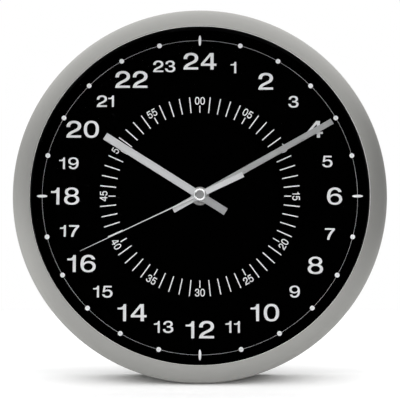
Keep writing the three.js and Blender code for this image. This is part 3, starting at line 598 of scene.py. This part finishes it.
six = [
    drawn((0.86, 0.745), (0.82, 0.915, 0.68, 1.015, 0.465, 1.015), (0.14, 1.015, 0, 0.79, 0, 0.465),
          (0, 0.155, 0.165, -0.015, 0.455, -0.015), (0.72, -0.015, 0.9, 0.125, 0.9, 0.325),
          (0.9, 0.52, 0.735, 0.645, 0.5, 0.645), (0.37, 0.645, 0.255, 0.60, 0.19, 0.515),
          (0.195, 0.745, 0.30, 0.885, 0.465, 0.885), (0.575, 0.885, 0.64, 0.825, 0.665, 0.745)),
    oval(0.455, 0.315, 0.265, 0.215),
]
figures = {
    "0": (0.9, [oval(0.45, 0.5, 0.45, 0.515, 2.3), oval(0.45, 0.5, 0.265, 0.385, 2.3)]),
    "1": (0.5, [drawn((0, 0.69), (0, 0.80), (0.14, 0.80), (0.255, 0.81, 0.335, 0.88, 0.355, 1.0),
                      (0.5, 1.0), (0.5, 0), (0.325, 0), (0.325, 0.69))]),
    "2": (0.885, [drawn(
        (0.009, 0.635), (0.009, 0.865, 0.17, 1.015, 0.45, 1.015), (0.72, 1.015, 0.885, 0.89, 0.885, 0.69),
        (0.885, 0.545, 0.79, 0.455, 0.61, 0.37), (0.42, 0.285, 0.29, 0.225, 0.245, 0.135),
        (0.885, 0.135), (0.885, 0), (0, 0), (0.01, 0.19, 0.13, 0.315, 0.35, 0.415),
        (0.56, 0.51, 0.685, 0.565, 0.685, 0.695), (0.685, 0.81, 0.585, 0.875, 0.45, 0.875),
        (0.305, 0.875, 0.22, 0.785, 0.22, 0.635))]),
    "3": (0.885, [drawn(
        (0.03, 0.70), (0.03, 0.885, 0.19, 1.015, 0.45, 1.015), (0.69, 1.015, 0.835, 0.91, 0.835, 0.745),
        (0.835, 0.635, 0.765, 0.565, 0.66, 0.53), (0.81, 0.50, 0.885, 0.405, 0.885, 0.29),
        (0.885, 0.10, 0.71, -0.015, 0.45, -0.015), (0.17, -0.015, 0, 0.11, 0, 0.315),
        (0.195, 0.315), (0.195, 0.195, 0.295, 0.12, 0.45, 0.12), (0.60, 0.12, 0.685, 0.19, 0.685, 0.295),
        (0.685, 0.395, 0.59, 0.45, 0.43, 0.45), (0.34, 0.45), (0.34, 0.575), (0.42, 0.575),
        (0.56, 0.575, 0.64, 0.63, 0.64, 0.725), (0.64, 0.825, 0.56, 0.88, 0.45, 0.88),
        (0.31, 0.88, 0.22, 0.815, 0.22, 0.70))]),
    "4": (0.93, [
        drawn((0.545, 1), (0.765, 1), (0.765, 0.36), (0.93, 0.36), (0.93, 0.225), (0.765, 0.225),
              (0.765, 0), (0.575, 0), (0.575, 0.225), (0, 0.225), (0, 0.345)),
        drawn((0.575, 0.815), (0.575, 0.36), (0.19, 0.36)),
    ]),
    "5": (0.885, [drawn(
        (0.125, 1), (0.815, 1), (0.815, 0.86), (0.27, 0.86), (0.235, 0.625),
        (0.295, 0.66, 0.375, 0.68, 0.47, 0.68), (0.72, 0.68, 0.885, 0.54, 0.885, 0.335),
        (0.885, 0.12, 0.71, -0.015, 0.44, -0.015), (0.18, -0.015, 0.01, 0.10, 0, 0.275),
        (0.19, 0.275), (0.21, 0.175, 0.30, 0.12, 0.44, 0.12), (0.595, 0.12, 0.69, 0.20, 0.69, 0.335),
        (0.69, 0.47, 0.59, 0.55, 0.44, 0.55), (0.335, 0.55, 0.26, 0.515, 0.21, 0.45), (0.035, 0.45))]),
    "6": (0.9, six),
    "7": (0.86, [drawn((0, 1), (0.86, 1), (0.86, 0.855), (0.62, 0.6, 0.425, 0.3, 0.385, 0), (0.18, 0),
                       (0.215, 0.32, 0.37, 0.61, 0.625, 0.86), (0, 0.86))]),
    "8": (0.9, [
        drawn((0.45, 1.015), (0.69, 1.015, 0.85, 0.905, 0.85, 0.745), (0.85, 0.645, 0.79, 0.57, 0.70, 0.53),
              (0.83, 0.49, 0.9, 0.40, 0.9, 0.285), (0.9, 0.095, 0.72, -0.015, 0.45, -0.015),
              (0.18, -0.015, 0, 0.095, 0, 0.285), (0, 0.40, 0.07, 0.49, 0.20, 0.53),
              (0.11, 0.57, 0.05, 0.645, 0.05, 0.745), (0.05, 0.905, 0.21, 1.015, 0.45, 1.015)),
        oval(0.45, 0.74, 0.23, 0.165),
        oval(0.45, 0.285, 0.27, 0.19),
    ]),
    "9": (0.9, half_turn(six, 0.9)),
}


def number(text, height, narrow=1.0):
    """A number's outlines about its own middle, in mm."""
    outlines = []
    pen = 0.0
    for figure in text:
        width, shapes = figures[figure]
        before, after = one_bearings if figure == "1" else (bearing, bearing)
        outlines += [[(x + pen + before, z) for x, z in shape] for shape in shapes]
        pen += before + width + after
    low = min(x for outline in outlines for x, _ in outline)
    high = max(x for outline in outlines for x, _ in outline)
    middle = (low + high) / 2
    wide = height * narrow
    return [[((x - middle) * wide, (z - 0.5) * height) for x, z in outline] for outline in outlines]


def spun(outlines, degrees, radius=0.0):
    """Outlines moved out from the middle and turned clockwise."""
    c, s = math.cos(math.radians(degrees)), math.sin(math.radians(degrees))
    moved_out = [[(x, z + radius) for x, z in outline] for outline in outlines]
    return [[(x * c + z * s, z * c - x * s) for x, z in outline] for outline in moved_out]


def flat(outlines, front, back, edge=0.0):
    """A sheet cut to closed (x, z) outlines, in mm, between two depths, with its edges rounded."""
    curve = bpy.data.curves.new("sheet", "CURVE")
    curve.dimensions = "2D"
    curve.fill_mode = "BOTH"
    curve.extrude = (back - front) / 2 - edge
    curve.bevel_depth = edge
    curve.bevel_resolution = 2
    curve.offset = -edge
    for outline in outlines:
        spline = curve.splines.new("POLY")
        spline.points.add(len(outline) - 1)
        for point, (x, z) in zip(spline.points, outline):
            point.co = (x, z, 0, 1)
        spline.use_cyclic_u = True
    sheet = bpy.data.objects.new("sheet", curve)
    mesh = bpy.data.meshes.new_from_object(sheet)
    bpy.data.curves.remove(curve)
    form = bmesh.new()
    form.from_mesh(mesh)
    bpy.data.meshes.remove(mesh)
    bmesh.ops.remove_doubles(form, verts=form.verts, dist=0.0005)
    stand = Matrix.Translation((0, (front + back) / 2, 0)) @ Matrix.Rotation(math.radians(90), 4, "X")
    bmesh.ops.transform(form, matrix=stand, verts=form.verts)
    return to_mesh(form)


def bar(half_width, low, high):
    return [(-half_width, low), (half_width, low), (half_width, high), (-half_width, high)]


def ink(name, tone):
    """Matt printing ink."""
    return moulded(name, grey(tone), 0.6, size=0.0003, contrast=0.08, depth=0.000004, Specular_IOR_Level=0.2)


white_ink = ink("white_ink", ink_tone)


def printed(name, outlines, colour=white_ink):
    """One screen of ink on the dial."""
    print_piece = placed(name, flat(outlines, -ink_height, 0), colour)
    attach(print_piece, "case")


printed("hour_track", [
    oval(0, 0, track_radius + track_line / 2, track_radius + track_line / 2, steps=240),
    oval(0, 0, track_radius - track_line / 2, track_radius - track_line / 2, steps=240),
])
hour_marks = []
even_hours = []
odd_hours = []
for hour in range(24):
    angle = 15 * hour
    if hour % 6 == 0:
        mark = oval(0, 0, quarter_width / 2, quarter_length / 2)
    else:
        mark = oval(0, 0, dot_radius, dot_radius)
    hour_marks += spun([mark], angle, track_radius)
    text = str(hour or 24)
    across = hour_radius * math.sin(math.radians(angle))
    up = hour_radius * math.cos(math.radians(angle))
    shapes = number(text, even_height if hour % 2 == 0 else odd_height)
    aside, above = set_off.get(hour, (0, 0))
    if hour % 6:
        aside -= hours_left
    shapes = [[(x + across + aside, z + up + above) for x, z in shape] for shape in shapes]
    if hour % 2 == 0:
        even_hours += shapes
    else:
        odd_hours += shapes
# The dots and strokes get the lighter ink, painted light against the rim's shade near the edge.
printed("hour_marks", hour_marks, ink("mark_ink_painted_light", mark_painted_light_tone))
printed("even_hours", even_hours)
printed("odd_hours", odd_hours)

strokes = []
minute_figures = []
for minute in range(60):
    angle = 6 * minute
    if minute % 5:
        strokes += spun([bar(stroke_width / 2, stroke_inside, stroke_outside)], angle)
        continue
    strokes += spun([bar(stroke_width / 2, stroke_inside, short_outside)], angle)
    shapes = number(f"{minute:02}", minute_height, minute_narrow)
    if minute in turned_minutes:
        shapes = [[(-x, -z) for x, z in shape] for shape in shapes]
    minute_figures += spun(shapes, angle, minute_radius)
printed("minute_strokes", strokes)
printed("minute_figures", minute_figures)

# Fixing of the movement at the dial's middle
# The movement's threaded brass bush comes through the dial, with a rubber washer behind it and a flat washer
# and a hexagon nut in front, all plated dull grey.
nut_front = -3.4
nut_back = -0.9
nut_half = 5.75
nut_edge = 0.25
washer_radius = 7.5
washer_play = 0.2
washer_edge = 0.15
thread_hole = 4.1
plate_colour = (0.34, 0.335, 0.325, 1)

dull_plate = turned_metal("dull_plate", plate_colour, 0.4, 0.12, 0.000004)
washer_low, washer_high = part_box("brass_washer")
washer_front = (washer_low[1] - dial_centre.y) / MM
washer_back = (washer_high[1] - dial_centre.y) / MM
washer_outline = ring_of(thread_hole + washer_play, washer_radius, washer_front, washer_back, washer_edge)
washer = placed("flat_washer", turned(washer_outline, 64), dull_plate)
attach(washer, "case")
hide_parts("brass_washer")

nut_corner = nut_half / math.cos(math.radians(30))
nut_outline = [(nut_corner * math.sin(math.radians(60 * k)), nut_corner * math.cos(math.radians(60 * k)))
               for k in range(6)]
nut_sheet = flat([nut_outline, oval(0, 0, thread_hole, thread_hole)], nut_front, nut_back, nut_edge)
nut = placed("hexagon_nut", nut_sheet, dull_plate)
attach(nut, "case")
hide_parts("hex_nut")

# Hands
# Straight bars with square ends, the second hand tapered, blanked from aluminium sheet, brushed along
# their length and set slightly to either side of flat at the hub. Each is riveted on a turned collet that
# grips its pipe.
hand_colour = (0.39, 0.39, 0.388, 1)
second_colour = (0.55, 0.55, 0.548, 1)
hand_roughness = 0.38
hand_lines = (6000, 6000, 120)
hand_tilt = 0.2
hand_edge = 0.12
collet_edge = 0.15
hands = {
    "hour_hand": dict(
        angle=302.2, width=6.2, tip=6.2, length=91, tail=24.8, tail_width=6.2, hub=4.96, hole=3.75,
        front=-5.6, back=-4.9, body="hour_train"),
    "minute_hand": dict(
        angle=60.7, width=4.9, tip=4.9, length=123, tail=24.8, tail_width=4.9, hub=3.96, hole=2.78,
        front=-9.2, back=-8.6, body="minute_train"),
    "second_hand": dict(
        angle=244.8, width=1.1, tip=0.4, length=106, tail=38.5, tail_width=4.4, hub=1.72, hole=0.62,
        front=-12.7, back=-12.2, body="second_train"),
}
collets = {
    "hour_collet": dict(inside=2.68, outside=3.68, front=-6.1, back=-4.4, body="hour_train"),
    "minute_collet": dict(inside=1.71, outside=2.71, front=-9.7, back=-8.1, body="minute_train"),
    "second_socket": dict(inside=0.62, outside=1.6, front=-12.0, back=-10.3, body="second_train"),
}


def hub_side(radius, half_front, half_back, steps=10):
    """Points down the right side of a hub, from where one bar meets it to where the other does."""
    start = math.asin(min(1, half_front / radius))
    end = math.pi - math.asin(min(1, half_back / radius))
    turn = [start + (end - start) * step / steps for step in range(steps + 1)]
    return [(radius * math.sin(a), radius * math.cos(a)) for a in turn]


def hand_outline(width, tip, length, tail, tail_width, hub):
    """A bar, its tail and the round of its hub, as one outline."""
    if hub <= tail_width / 2:
        tail_start = math.sqrt(hub * hub - width * width / 4)
        right = [(tip / 2, length), (width / 2, tail_start), (tail_width / 2, 0), (tail_width / 2, -tail)]
    else:
        right = [(tip / 2, length), *hub_side(hub, width / 2, tail_width / 2), (tail_width / 2, -tail)]
    return right + [(-x, z) for x, z in reversed(right)]


def brushed_hand(name, colour, tilt):
    """A hand's metal, brushed along its length, each half set back from the hub by a slope."""
    material, tree, shader = new_material(name, Metallic=1.0)
    spot = object_spot(tree)
    lines = node(tree, "Mapping", {"Vector": spot, "Scale": hand_lines}).outputs[0]
    bump = brushed(tree, shader, lines, colour, hand_roughness, 0.10, 0.000002)
    run = calculate(tree, "ABSOLUTE", node(tree, "SeparateXYZ", {0: spot}).outputs["Z"])
    slope = node(tree, "Bump", {"Height": calculate(tree, "MULTIPLY", run, -tilt), "Distance": 1.0})
    tree.links.new(slope.outputs["Normal"], bump.inputs["Normal"])
    return material


broad_finish = brushed_hand("broad_hand", hand_colour, hand_tilt)
second_finish = brushed_hand("second_hand", second_colour, 0.0)
for name, hand in hands.items():
    outlines = [
        hand_outline(*(hand[size] for size in ("width", "tip", "length", "tail", "tail_width", "hub"))),
        oval(0, 0, hand["hole"], hand["hole"]),
    ]
    finish = second_finish if name == "second_hand" else broad_finish
    sheet = flat(outlines, hand["front"], hand["back"], hand_edge)
    blade = placed(name + "_blade", sheet, finish, hand["angle"])
    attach(blade, hand["body"])
    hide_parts(name)
for name, collet in collets.items():
    outline = ring_of(collet["inside"], collet["outside"], collet["front"], collet["back"], collet_edge)
    sleeve = placed(name + "_sleeve", turned(outline, 48), dull_plate)
    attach(sleeve, collet["body"])
    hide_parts(name)

# Cap
# A small turned button pressed on the second hand's arbor: a bright polished ring round a satin recess. The
# recess is the same metal coloured darker, as painted shade.
cap_radius = 5.0
cap_front = -15.5
cap_back = -12.9
cap_recess = 3.3
cap_recess_depth = 0.5
cap_edge = 0.2
cap_slack = 0.1
cap_colour = (0.72, 0.72, 0.71, 1)
recess_painted_shade_colour = (0.27, 0.27, 0.265, 1)

cap_floor = cap_front + cap_recess_depth
cap_ring = (cap_radius - cap_recess) / 2
cap_outline = [
    (0, cap_floor), (cap_recess - cap_edge, cap_floor),
    *arc(cap_recess + cap_ring, cap_floor, cap_ring, cap_recess_depth, 180, 360, 12),
    (cap_radius, cap_back - cap_edge), (cap_radius - cap_edge, cap_back), (0, cap_back),
]
cap_metal = turned_metal("cap_metal", cap_colour, 0.2, 0.06, 0.000002)
cap = placed("second_cap_button", turned(cap_outline, 64), cap_metal)
# The recess takes the same metal in a darker colour: painted shade.
cap.data.materials.append(turned_metal("cap_recess", recess_painted_shade_colour, 0.55, 0.08, 0.000002))
recess_floor = (cap_floor + cap_slack) * MM
recess_reach = (cap_recess - cap_slack) * MM
for face in cap.data.polygons:
    if face.center.y < recess_floor and face.center.xz.length < recess_reach:
        face.material_index = 1
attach(cap, "second_train")
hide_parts("second_cap")

# Case back
# A black moulded disc that closes the rim from behind: a raised ring that rests on the wall, a tall rib
# that presses the dial forwards, a square collar round the movement, stiffening spokes, and a keyhole for
# the nail.
back_front = 20.2
back_rear = 23.4
back_radius = 148.3
back_edge = 0.5
land_rear = 24.4
land_inside = 115.4
land_outside = 125.4
rib_inside = 135.4
rib_outside = 138.0
rib_front = 1.2
opening_half = 35.0
opening_corner = 9.0
collar_wall = 2.0
collar_front = 12.2
spoke_count = 8
spoke_front = 12.5
spoke_half = 1.0
spoke_inside = 39.0
spoke_outside = 136.5
keyhole_top = 108.9
keyhole_entry = 95.9
keyhole_radius = 5.5
keyhole_half = 3.25
screw_circle = 144.25
screw_count = 6
counterbore_radius = 3.1
counterbore_seat = 21.3
screw_hole = 1.7
sunk = 0.5
cut_past = 1
carving_slack = 0.002


def rounded(x0, z0, x1, z1, corner, steps=6):
    """A rectangle with round corners."""
    points = []
    for x, z, start in ((x1 - corner, z1 - corner, 0), (x0 + corner, z1 - corner, 90),
                        (x0 + corner, z0 + corner, 180), (x1 - corner, z0 + corner, 270)):
        points += arc(x, z, corner, corner, start, start + 90, steps)
    return points


def square(half, corner):
    return rounded(-half, -half, half, half, corner)


def moved(mesh, x=0.0, y=0.0, z=0.0):
    """Shifts a mesh by millimetres."""
    mesh.transform(Matrix.Translation((x * MM, y * MM, z * MM)))
    return mesh


def together(meshes):
    """Several meshes as one."""
    form = bmesh.new()
    for mesh in meshes:
        form.from_mesh(mesh)
        bpy.data.meshes.remove(mesh)
    joined = bpy.data.meshes.new("joined")
    form.to_mesh(joined)
    form.free()
    return joined


def carved(mesh, *tools):
    """A solid with other solids joined to it or cut from it."""
    body = added("body", mesh)
    helpers = []
    for operation, tool in tools:
        helper = added("tool", tool)
        helpers.append(helper)
        step = body.modifiers.new(operation, "BOOLEAN")
        step.operation = operation
        step.solver = "EXACT"
        step.object = helper
    depsgraph = bpy.context.evaluated_depsgraph_get()
    result = bpy.data.meshes.new_from_object(body.evaluated_get(depsgraph))
    for item in (body, *helpers):
        bpy.data.meshes.remove(item.data)
    form = bmesh.new()
    form.from_mesh(result)
    bmesh.ops.triangulate(form, faces=[face for face in form.faces if len(face.verts) > 4])
    bmesh.ops.remove_doubles(form, verts=form.verts, dist=carving_slack * MM)
    bmesh.ops.dissolve_degenerate(form, edges=form.edges, dist=carving_slack * MM)
    form.to_mesh(result)
    form.free()
    return result


back_outline = [
    (0, back_front), (rib_inside, back_front),
    (rib_inside, rib_front + back_edge), (rib_inside + back_edge, rib_front),
    (rib_outside - back_edge, rib_front), (rib_outside, rib_front + back_edge), (rib_outside, back_front),
    (back_radius - back_edge, back_front), (back_radius, back_front + back_edge),
    (back_radius, back_rear - back_edge), (back_radius - back_edge, back_rear),
    (land_outside, back_rear), (land_outside, land_rear - back_edge), (land_outside - back_edge, land_rear),
    (land_inside + back_edge, land_rear), (land_inside, land_rear - back_edge), (land_inside, back_rear),
    (0, back_rear),
]
past_front = collar_front - cut_past
past_rear = land_rear + cut_past
collar_outline = square(opening_half + collar_wall, opening_corner + collar_wall)
collar = flat([collar_outline], collar_front, back_front + sunk)
spoke = bar(spoke_half, spoke_inside, spoke_outside)
spokes = together([
    flat(spun([spoke], 360 * (k + 0.5) / spoke_count), spoke_front, back_front + sunk)
    for k in range(spoke_count)
])
entry_side = math.degrees(math.asin(keyhole_half / keyhole_radius))
keyhole = flat([[
    (keyhole_half, keyhole_top), (-keyhole_half, keyhole_top),
    *arc(0, keyhole_entry, keyhole_radius, keyhole_radius, 90 + entry_side, 450 - entry_side, 24),
]], past_front, past_rear)


def post(outline, x, z):
    """A turned solid that stands at a place of its own."""
    return moved(turned(outline, 24), x, 0, z)


screw_bore = [
    (0, past_front), (screw_hole, past_front), (screw_hole, counterbore_seat),
    (counterbore_radius, counterbore_seat), (counterbore_radius, past_rear), (0, past_rear),
]
screw_angles = [math.radians(360 * (k + 0.5) / screw_count) for k in range(screw_count)]
screw_places = [(screw_circle * math.cos(angle), screw_circle * math.sin(angle)) for angle in screw_angles]
back_plastic = moulded("back_plastic", (0.025, 0.025, 0.027, 1), 0.6)
back_disc = placed("back_disc", carved(
    turned(back_outline, 160),
    ("UNION", spokes),
    ("UNION", collar),
    ("DIFFERENCE", flat([square(opening_half, opening_corner)], past_front, past_rear)),
    ("DIFFERENCE", keyhole),
    ("DIFFERENCE", together([post(screw_bore, x, z) for x, z in screw_places])),
), back_plastic)
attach(back_disc, "case")
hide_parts("case_back")

# Back screws
# Six zinc-plated pan-head screws with a cross recess, each sunk in a counterbore and driven into the
# rim's flange.
head_seat = 21.5
head_top = 23.2
head_radius = 2.7
head_crown = 1.9
head_side = 0.9
shank_radius = 1.4
thread_radius = 1.15
shank_front = 15.5
shank_point = 0.5
thread_pitch = 0.8
cross_half_width = 0.4
cross_half_length = 1.5
cross_depth = 0.9
screw_turn = 17

zinc = turned_metal("zinc", (0.5, 0.5, 0.51, 1), 0.35, 0.12, 0.000003)
threads = []
depth = shank_front + thread_pitch
while depth < head_seat - thread_pitch:
    threads += [(thread_radius, depth), (shank_radius, depth + thread_pitch / 2)]
    depth += thread_pitch
crown_base = head_seat + head_side
screw_outline = [
    (0, shank_front), (shank_point, shank_front), *threads, (thread_radius, head_seat),
    (head_radius, head_seat), (head_radius, crown_base),
    *arc(head_crown, crown_base, head_radius - head_crown, head_top - crown_base, 15, 90, 5),
    (0, head_top),
]
upright = bar(cross_half_width, -cross_half_length, cross_half_length)
level = [(z, x) for x, z in upright]
screw_mesh = carved(turned(screw_outline, 32), *(
    ("DIFFERENCE", flat([slot], head_top - cross_depth, head_top + cut_past)) for slot in (upright, level)))
for number_of, (x, z) in enumerate(screw_places, 1):
    screw = placed(f"pan_screw_{number_of}", screw_mesh.copy(), zinc)
    screw.location += Vector((x, 0, z)) * MM
    screw.rotation_euler = (0, math.radians(screw_turn * number_of), 0)
    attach(screw, "case")
    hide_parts(f"back_screw_{number_of}")

# Movement cover and setting knob
# The quartz movement's black moulded cover snaps over its train, with a boss inside for each rear pivot.
# A fluted white knob for setting the hands stands in a shallow round well.
cover_plate = 1.5
cover_edge = 0.3
cover_corner = 1.0
groove_inset = 2.2
groove_width = 0.7
groove_depth = 0.5
well_radius = 6.2
well_depth = 0.6
well_past = 0.1
boss_radius = 1.6
boss_sunk = 0.75
pivot_hole = 0.58
knob_radius = 4.5
knob_edge = 0.4
knob_flutes = 18
flute_steps = 8
flute_depth = 0.35
shaft_hole = 1.3


def span(name):
    """A node's lowest and highest corners from the hand axis at the dial's face, in mm."""
    low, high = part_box(name)
    return (Vector(low) - dial_centre) / MM, (Vector(high) - dial_centre) / MM


cover_low, cover_high = span("movement_cover")
knob_low, knob_high = span("setting_knob")
knob_x = (knob_low.x + knob_high.x) / 2
knob_z = (knob_low.z + knob_high.z) / 2
case_plastic = moulded("case_plastic", (0.035, 0.037, 0.04, 1), 0.45)
cover_inside = cover_high.y - cover_plate


def inset(margin):
    """The cover's outline, drawn in by a margin."""
    return rounded(cover_low.x + margin, cover_low.z + margin,
                   cover_high.x - margin, cover_high.z - margin, cover_corner)


def rod(radius, front, back):
    """Outline of a plain turned rod."""
    return [(0, front), (radius, front), (radius, back), (0, back)]


pivots = [(0, 0)]
for wheel in ("third_wheel", "intermediate_wheel", "rotor_pinion"):
    wheel_low, wheel_high = span(wheel)
    pivots.append(((wheel_low.x + wheel_high.x) / 2, (wheel_low.z + wheel_high.z) / 2))
boss = rod(boss_radius, cover_low.y, cover_inside + boss_sunk)
pivot_bore = rod(pivot_hole, cover_low.y - cut_past, cover_inside)
shaft_bore = rod(shaft_hole, cover_inside - cut_past, cover_high.y + cut_past)
well_floor = cover_high.y - well_depth
well_top = cover_high.y + well_past
well = [(0, well_floor), (well_radius, well_floor), (well_radius + well_depth, well_top), (0, well_top)]
groove = flat([inset(groove_inset), inset(groove_inset + groove_width)],
              cover_high.y - groove_depth, cover_high.y + cut_past)
cover = placed("cover_plate", carved(
    flat([inset(0)], cover_inside, cover_high.y, cover_edge),
    ("DIFFERENCE", groove),
    ("DIFFERENCE", post(well, knob_x, knob_z)),
    ("UNION", together([post(boss, x, z) for x, z in pivots])),
    ("DIFFERENCE", together([post(pivot_bore, x, z) for x, z in pivots])),
    ("DIFFERENCE", post(shaft_bore, knob_x, knob_z)),
), case_plastic)
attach(cover, "case")
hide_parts("movement_cover")

white_plastic = moulded("white_plastic", (0.72, 0.70, 0.63, 1), 0.4, contrast=0.1)
flutes = []
for step in range(knob_flutes * flute_steps):
    angle = 2 * math.pi * step / (knob_flutes * flute_steps)
    radius = knob_radius - flute_depth * abs(math.sin(knob_flutes * angle / 2))
    flutes.append((knob_x + radius * math.sin(angle), knob_z + radius * math.cos(angle)))
knob = placed("knob_grip", flat([flutes], knob_low.y, knob_high.y, knob_edge), white_plastic)
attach(knob, "setting")
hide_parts("setting_knob")

# Battery
# One AA cell lies in the movement's open bay: a steel can with a raised button, in a plain dark sleeve
# that is shrunk on.
cell_low, cell_high = span("battery")
cell_radius = 7.25
cell_half = (cell_high.x - cell_low.x) / 2
cell_y = (cell_low.y + cell_high.y) / 2
cell_z = (cell_low.z + cell_high.z) / 2
button_radius = 2.75
button_height = 1.0
button_flare = 0.9
button_edge = 0.3
foot_radius = 4.6
foot_slope = 0.4
foot_height = 0.3
crimp_radius = 6.6
base_round = 0.8
top_round = 0.6
top_sunk = 0.1
sleeve_wall = 0.15
sleeve_film = 0.12


def laid(mesh):
    """Lays a turned mesh along the battery's axis."""
    mesh.transform(Matrix.Rotation(math.radians(-90), 4, "Z"))
    return moved(mesh, 0, cell_y, cell_z)


base = -cell_half
shoulder = cell_half - button_height
can_radius = cell_radius - sleeve_wall
can_outline = [
    (0, base), (foot_radius, base), (foot_radius + foot_slope, base + foot_height),
    (crimp_radius, base + foot_height), (can_radius, base + base_round), (can_radius, shoulder - top_round),
    (crimp_radius, shoulder - top_sunk), (button_radius + button_flare, shoulder - top_sunk),
    (button_radius, shoulder), (button_radius, cell_half - button_edge),
    (button_radius - button_edge, cell_half), (0, cell_half),
]
can_metal = turned_metal("can_metal", (0.62, 0.62, 0.61, 1), 0.3, 0.08, 0.000003)
can = placed("cell_can", laid(turned(can_outline, 64)), can_metal)
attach(can, "cell")
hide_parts("battery")

sleeve_inside = cell_radius - sleeve_film
sleeve_outline = [
    (6.3, base + 0.25), (6.9, base + 0.2),
    (cell_radius, base + base_round), (cell_radius, shoulder - top_round),
    (6.9, shoulder), (6.0, shoulder), (6.0, shoulder - top_sunk), (6.8, shoulder - 0.15),
    (sleeve_inside, shoulder - 0.65), (sleeve_inside, base + 0.85),
    (6.85, base + 0.35), (6.3, base + 0.35),
]
sleeve_print = moulded("sleeve_print", (0.05, 0.055, 0.065, 1), 0.3, contrast=0.1)
sleeve = placed("cell_sleeve", laid(turned(sleeve_outline, 64)), sleeve_print)
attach(sleeve, "cell")

# Movement
# The rest of the movement lies behind the dial in its moulded box: a plate, moulded wheels, a stepping
# motor with its copper coil, a small board with a quartz crystal, and two bright spring contacts for the
# cell.
edge_round = 0.1
edge_angle = 40
seam_reach = 0.01
corner_reach = 0.001
mill_lines = (200, 5000, 5000)
wire_pitch = 0.14
track_pitch = 1.1


def rolled_metal(name, colour, roughness, contrast):
    """Sheet metal with the straight faint lines of the rolling mill."""
    material, tree, shader = new_material(name, Metallic=1.0)
    lines = node(tree, "Mapping", {"Vector": object_spot(tree), "Scale": mill_lines}).outputs[0]
    brushed(tree, shader, lines, colour, roughness, contrast, 0.000003)
    return material


def striped(name, colour, pitch, tones, depth, **sockets):
    """A surface in even stripes side by side, such as wound wire or the tracks of a board."""
    material, tree, shader = new_material(name, **sockets)
    stripes = node(tree, "TexWave", {
        "Vector": object_spot(tree), "Scale": math.pi / (10 * pitch * MM), "Distortion": 0.4, "Detail": 1.0,
    }, bands_direction="X").outputs[1]
    tone = node(tree, "MapRange", {"Value": stripes, "To Min": tones[0], "To Max": tones[1]}).outputs[0]
    tint = node(tree, "HueSaturation", {"Value": tone, "Color": colour}).outputs[0]
    tree.links.new(tint, shader.inputs["Base Color"])
    bump = node(tree, "Bump", {"Height": stripes, "Distance": depth})
    tree.links.new(bump.outputs["Normal"], shader.inputs["Normal"])
    return material


finishes = {
    "black_rubber": black_rubber,
    "movement_plastic": case_plastic,
    "white_plastic": white_plastic,
    "turned_brass": dull_plate,
    "bright_spring": rolled_metal("spring_plate", (0.66, 0.67, 0.68, 1), 0.25, 0.08),
    "iron": rolled_metal("rolled_iron", (0.4, 0.4, 0.42, 1), 0.45, 0.15),
    "board_green": striped(
        "board_tracks", (0.05, 0.2, 0.09, 1), track_pitch, (0.8, 1.3), 0.00003, Roughness=0.35),
    "copper_wire": striped(
        "wound_wire", (0.55, 0.22, 0.08, 1), wire_pitch, (0.6, 1.1), 0.00004, Metallic=1.0, Roughness=0.3),
}
special = {
    "timing_chip": moulded("chip_resin", (0.012, 0.012, 0.013, 1), 0.35, size=0.0002),
    "quartz_crystal": can_metal,
}
for name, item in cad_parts.items():
    if item.hide_render:
        continue
    slot_name = item.data.materials[0].name.split(".")[0]
    item.data.materials[0] = special.get(name) or finishes[slot_name]
    seams = item.modifiers.new("seams", "WELD")
    seams.merge_threshold = seam_reach * MM
    edges = item.modifiers.new("edges", "BEVEL")
    edges.width = edge_round * MM
    edges.segments = 2
    edges.limit_method = "ANGLE"
    edges.angle_limit = math.radians(edge_angle)
    corners = item.modifiers.new("corners", "WELD")
    corners.merge_threshold = corner_reach * MM
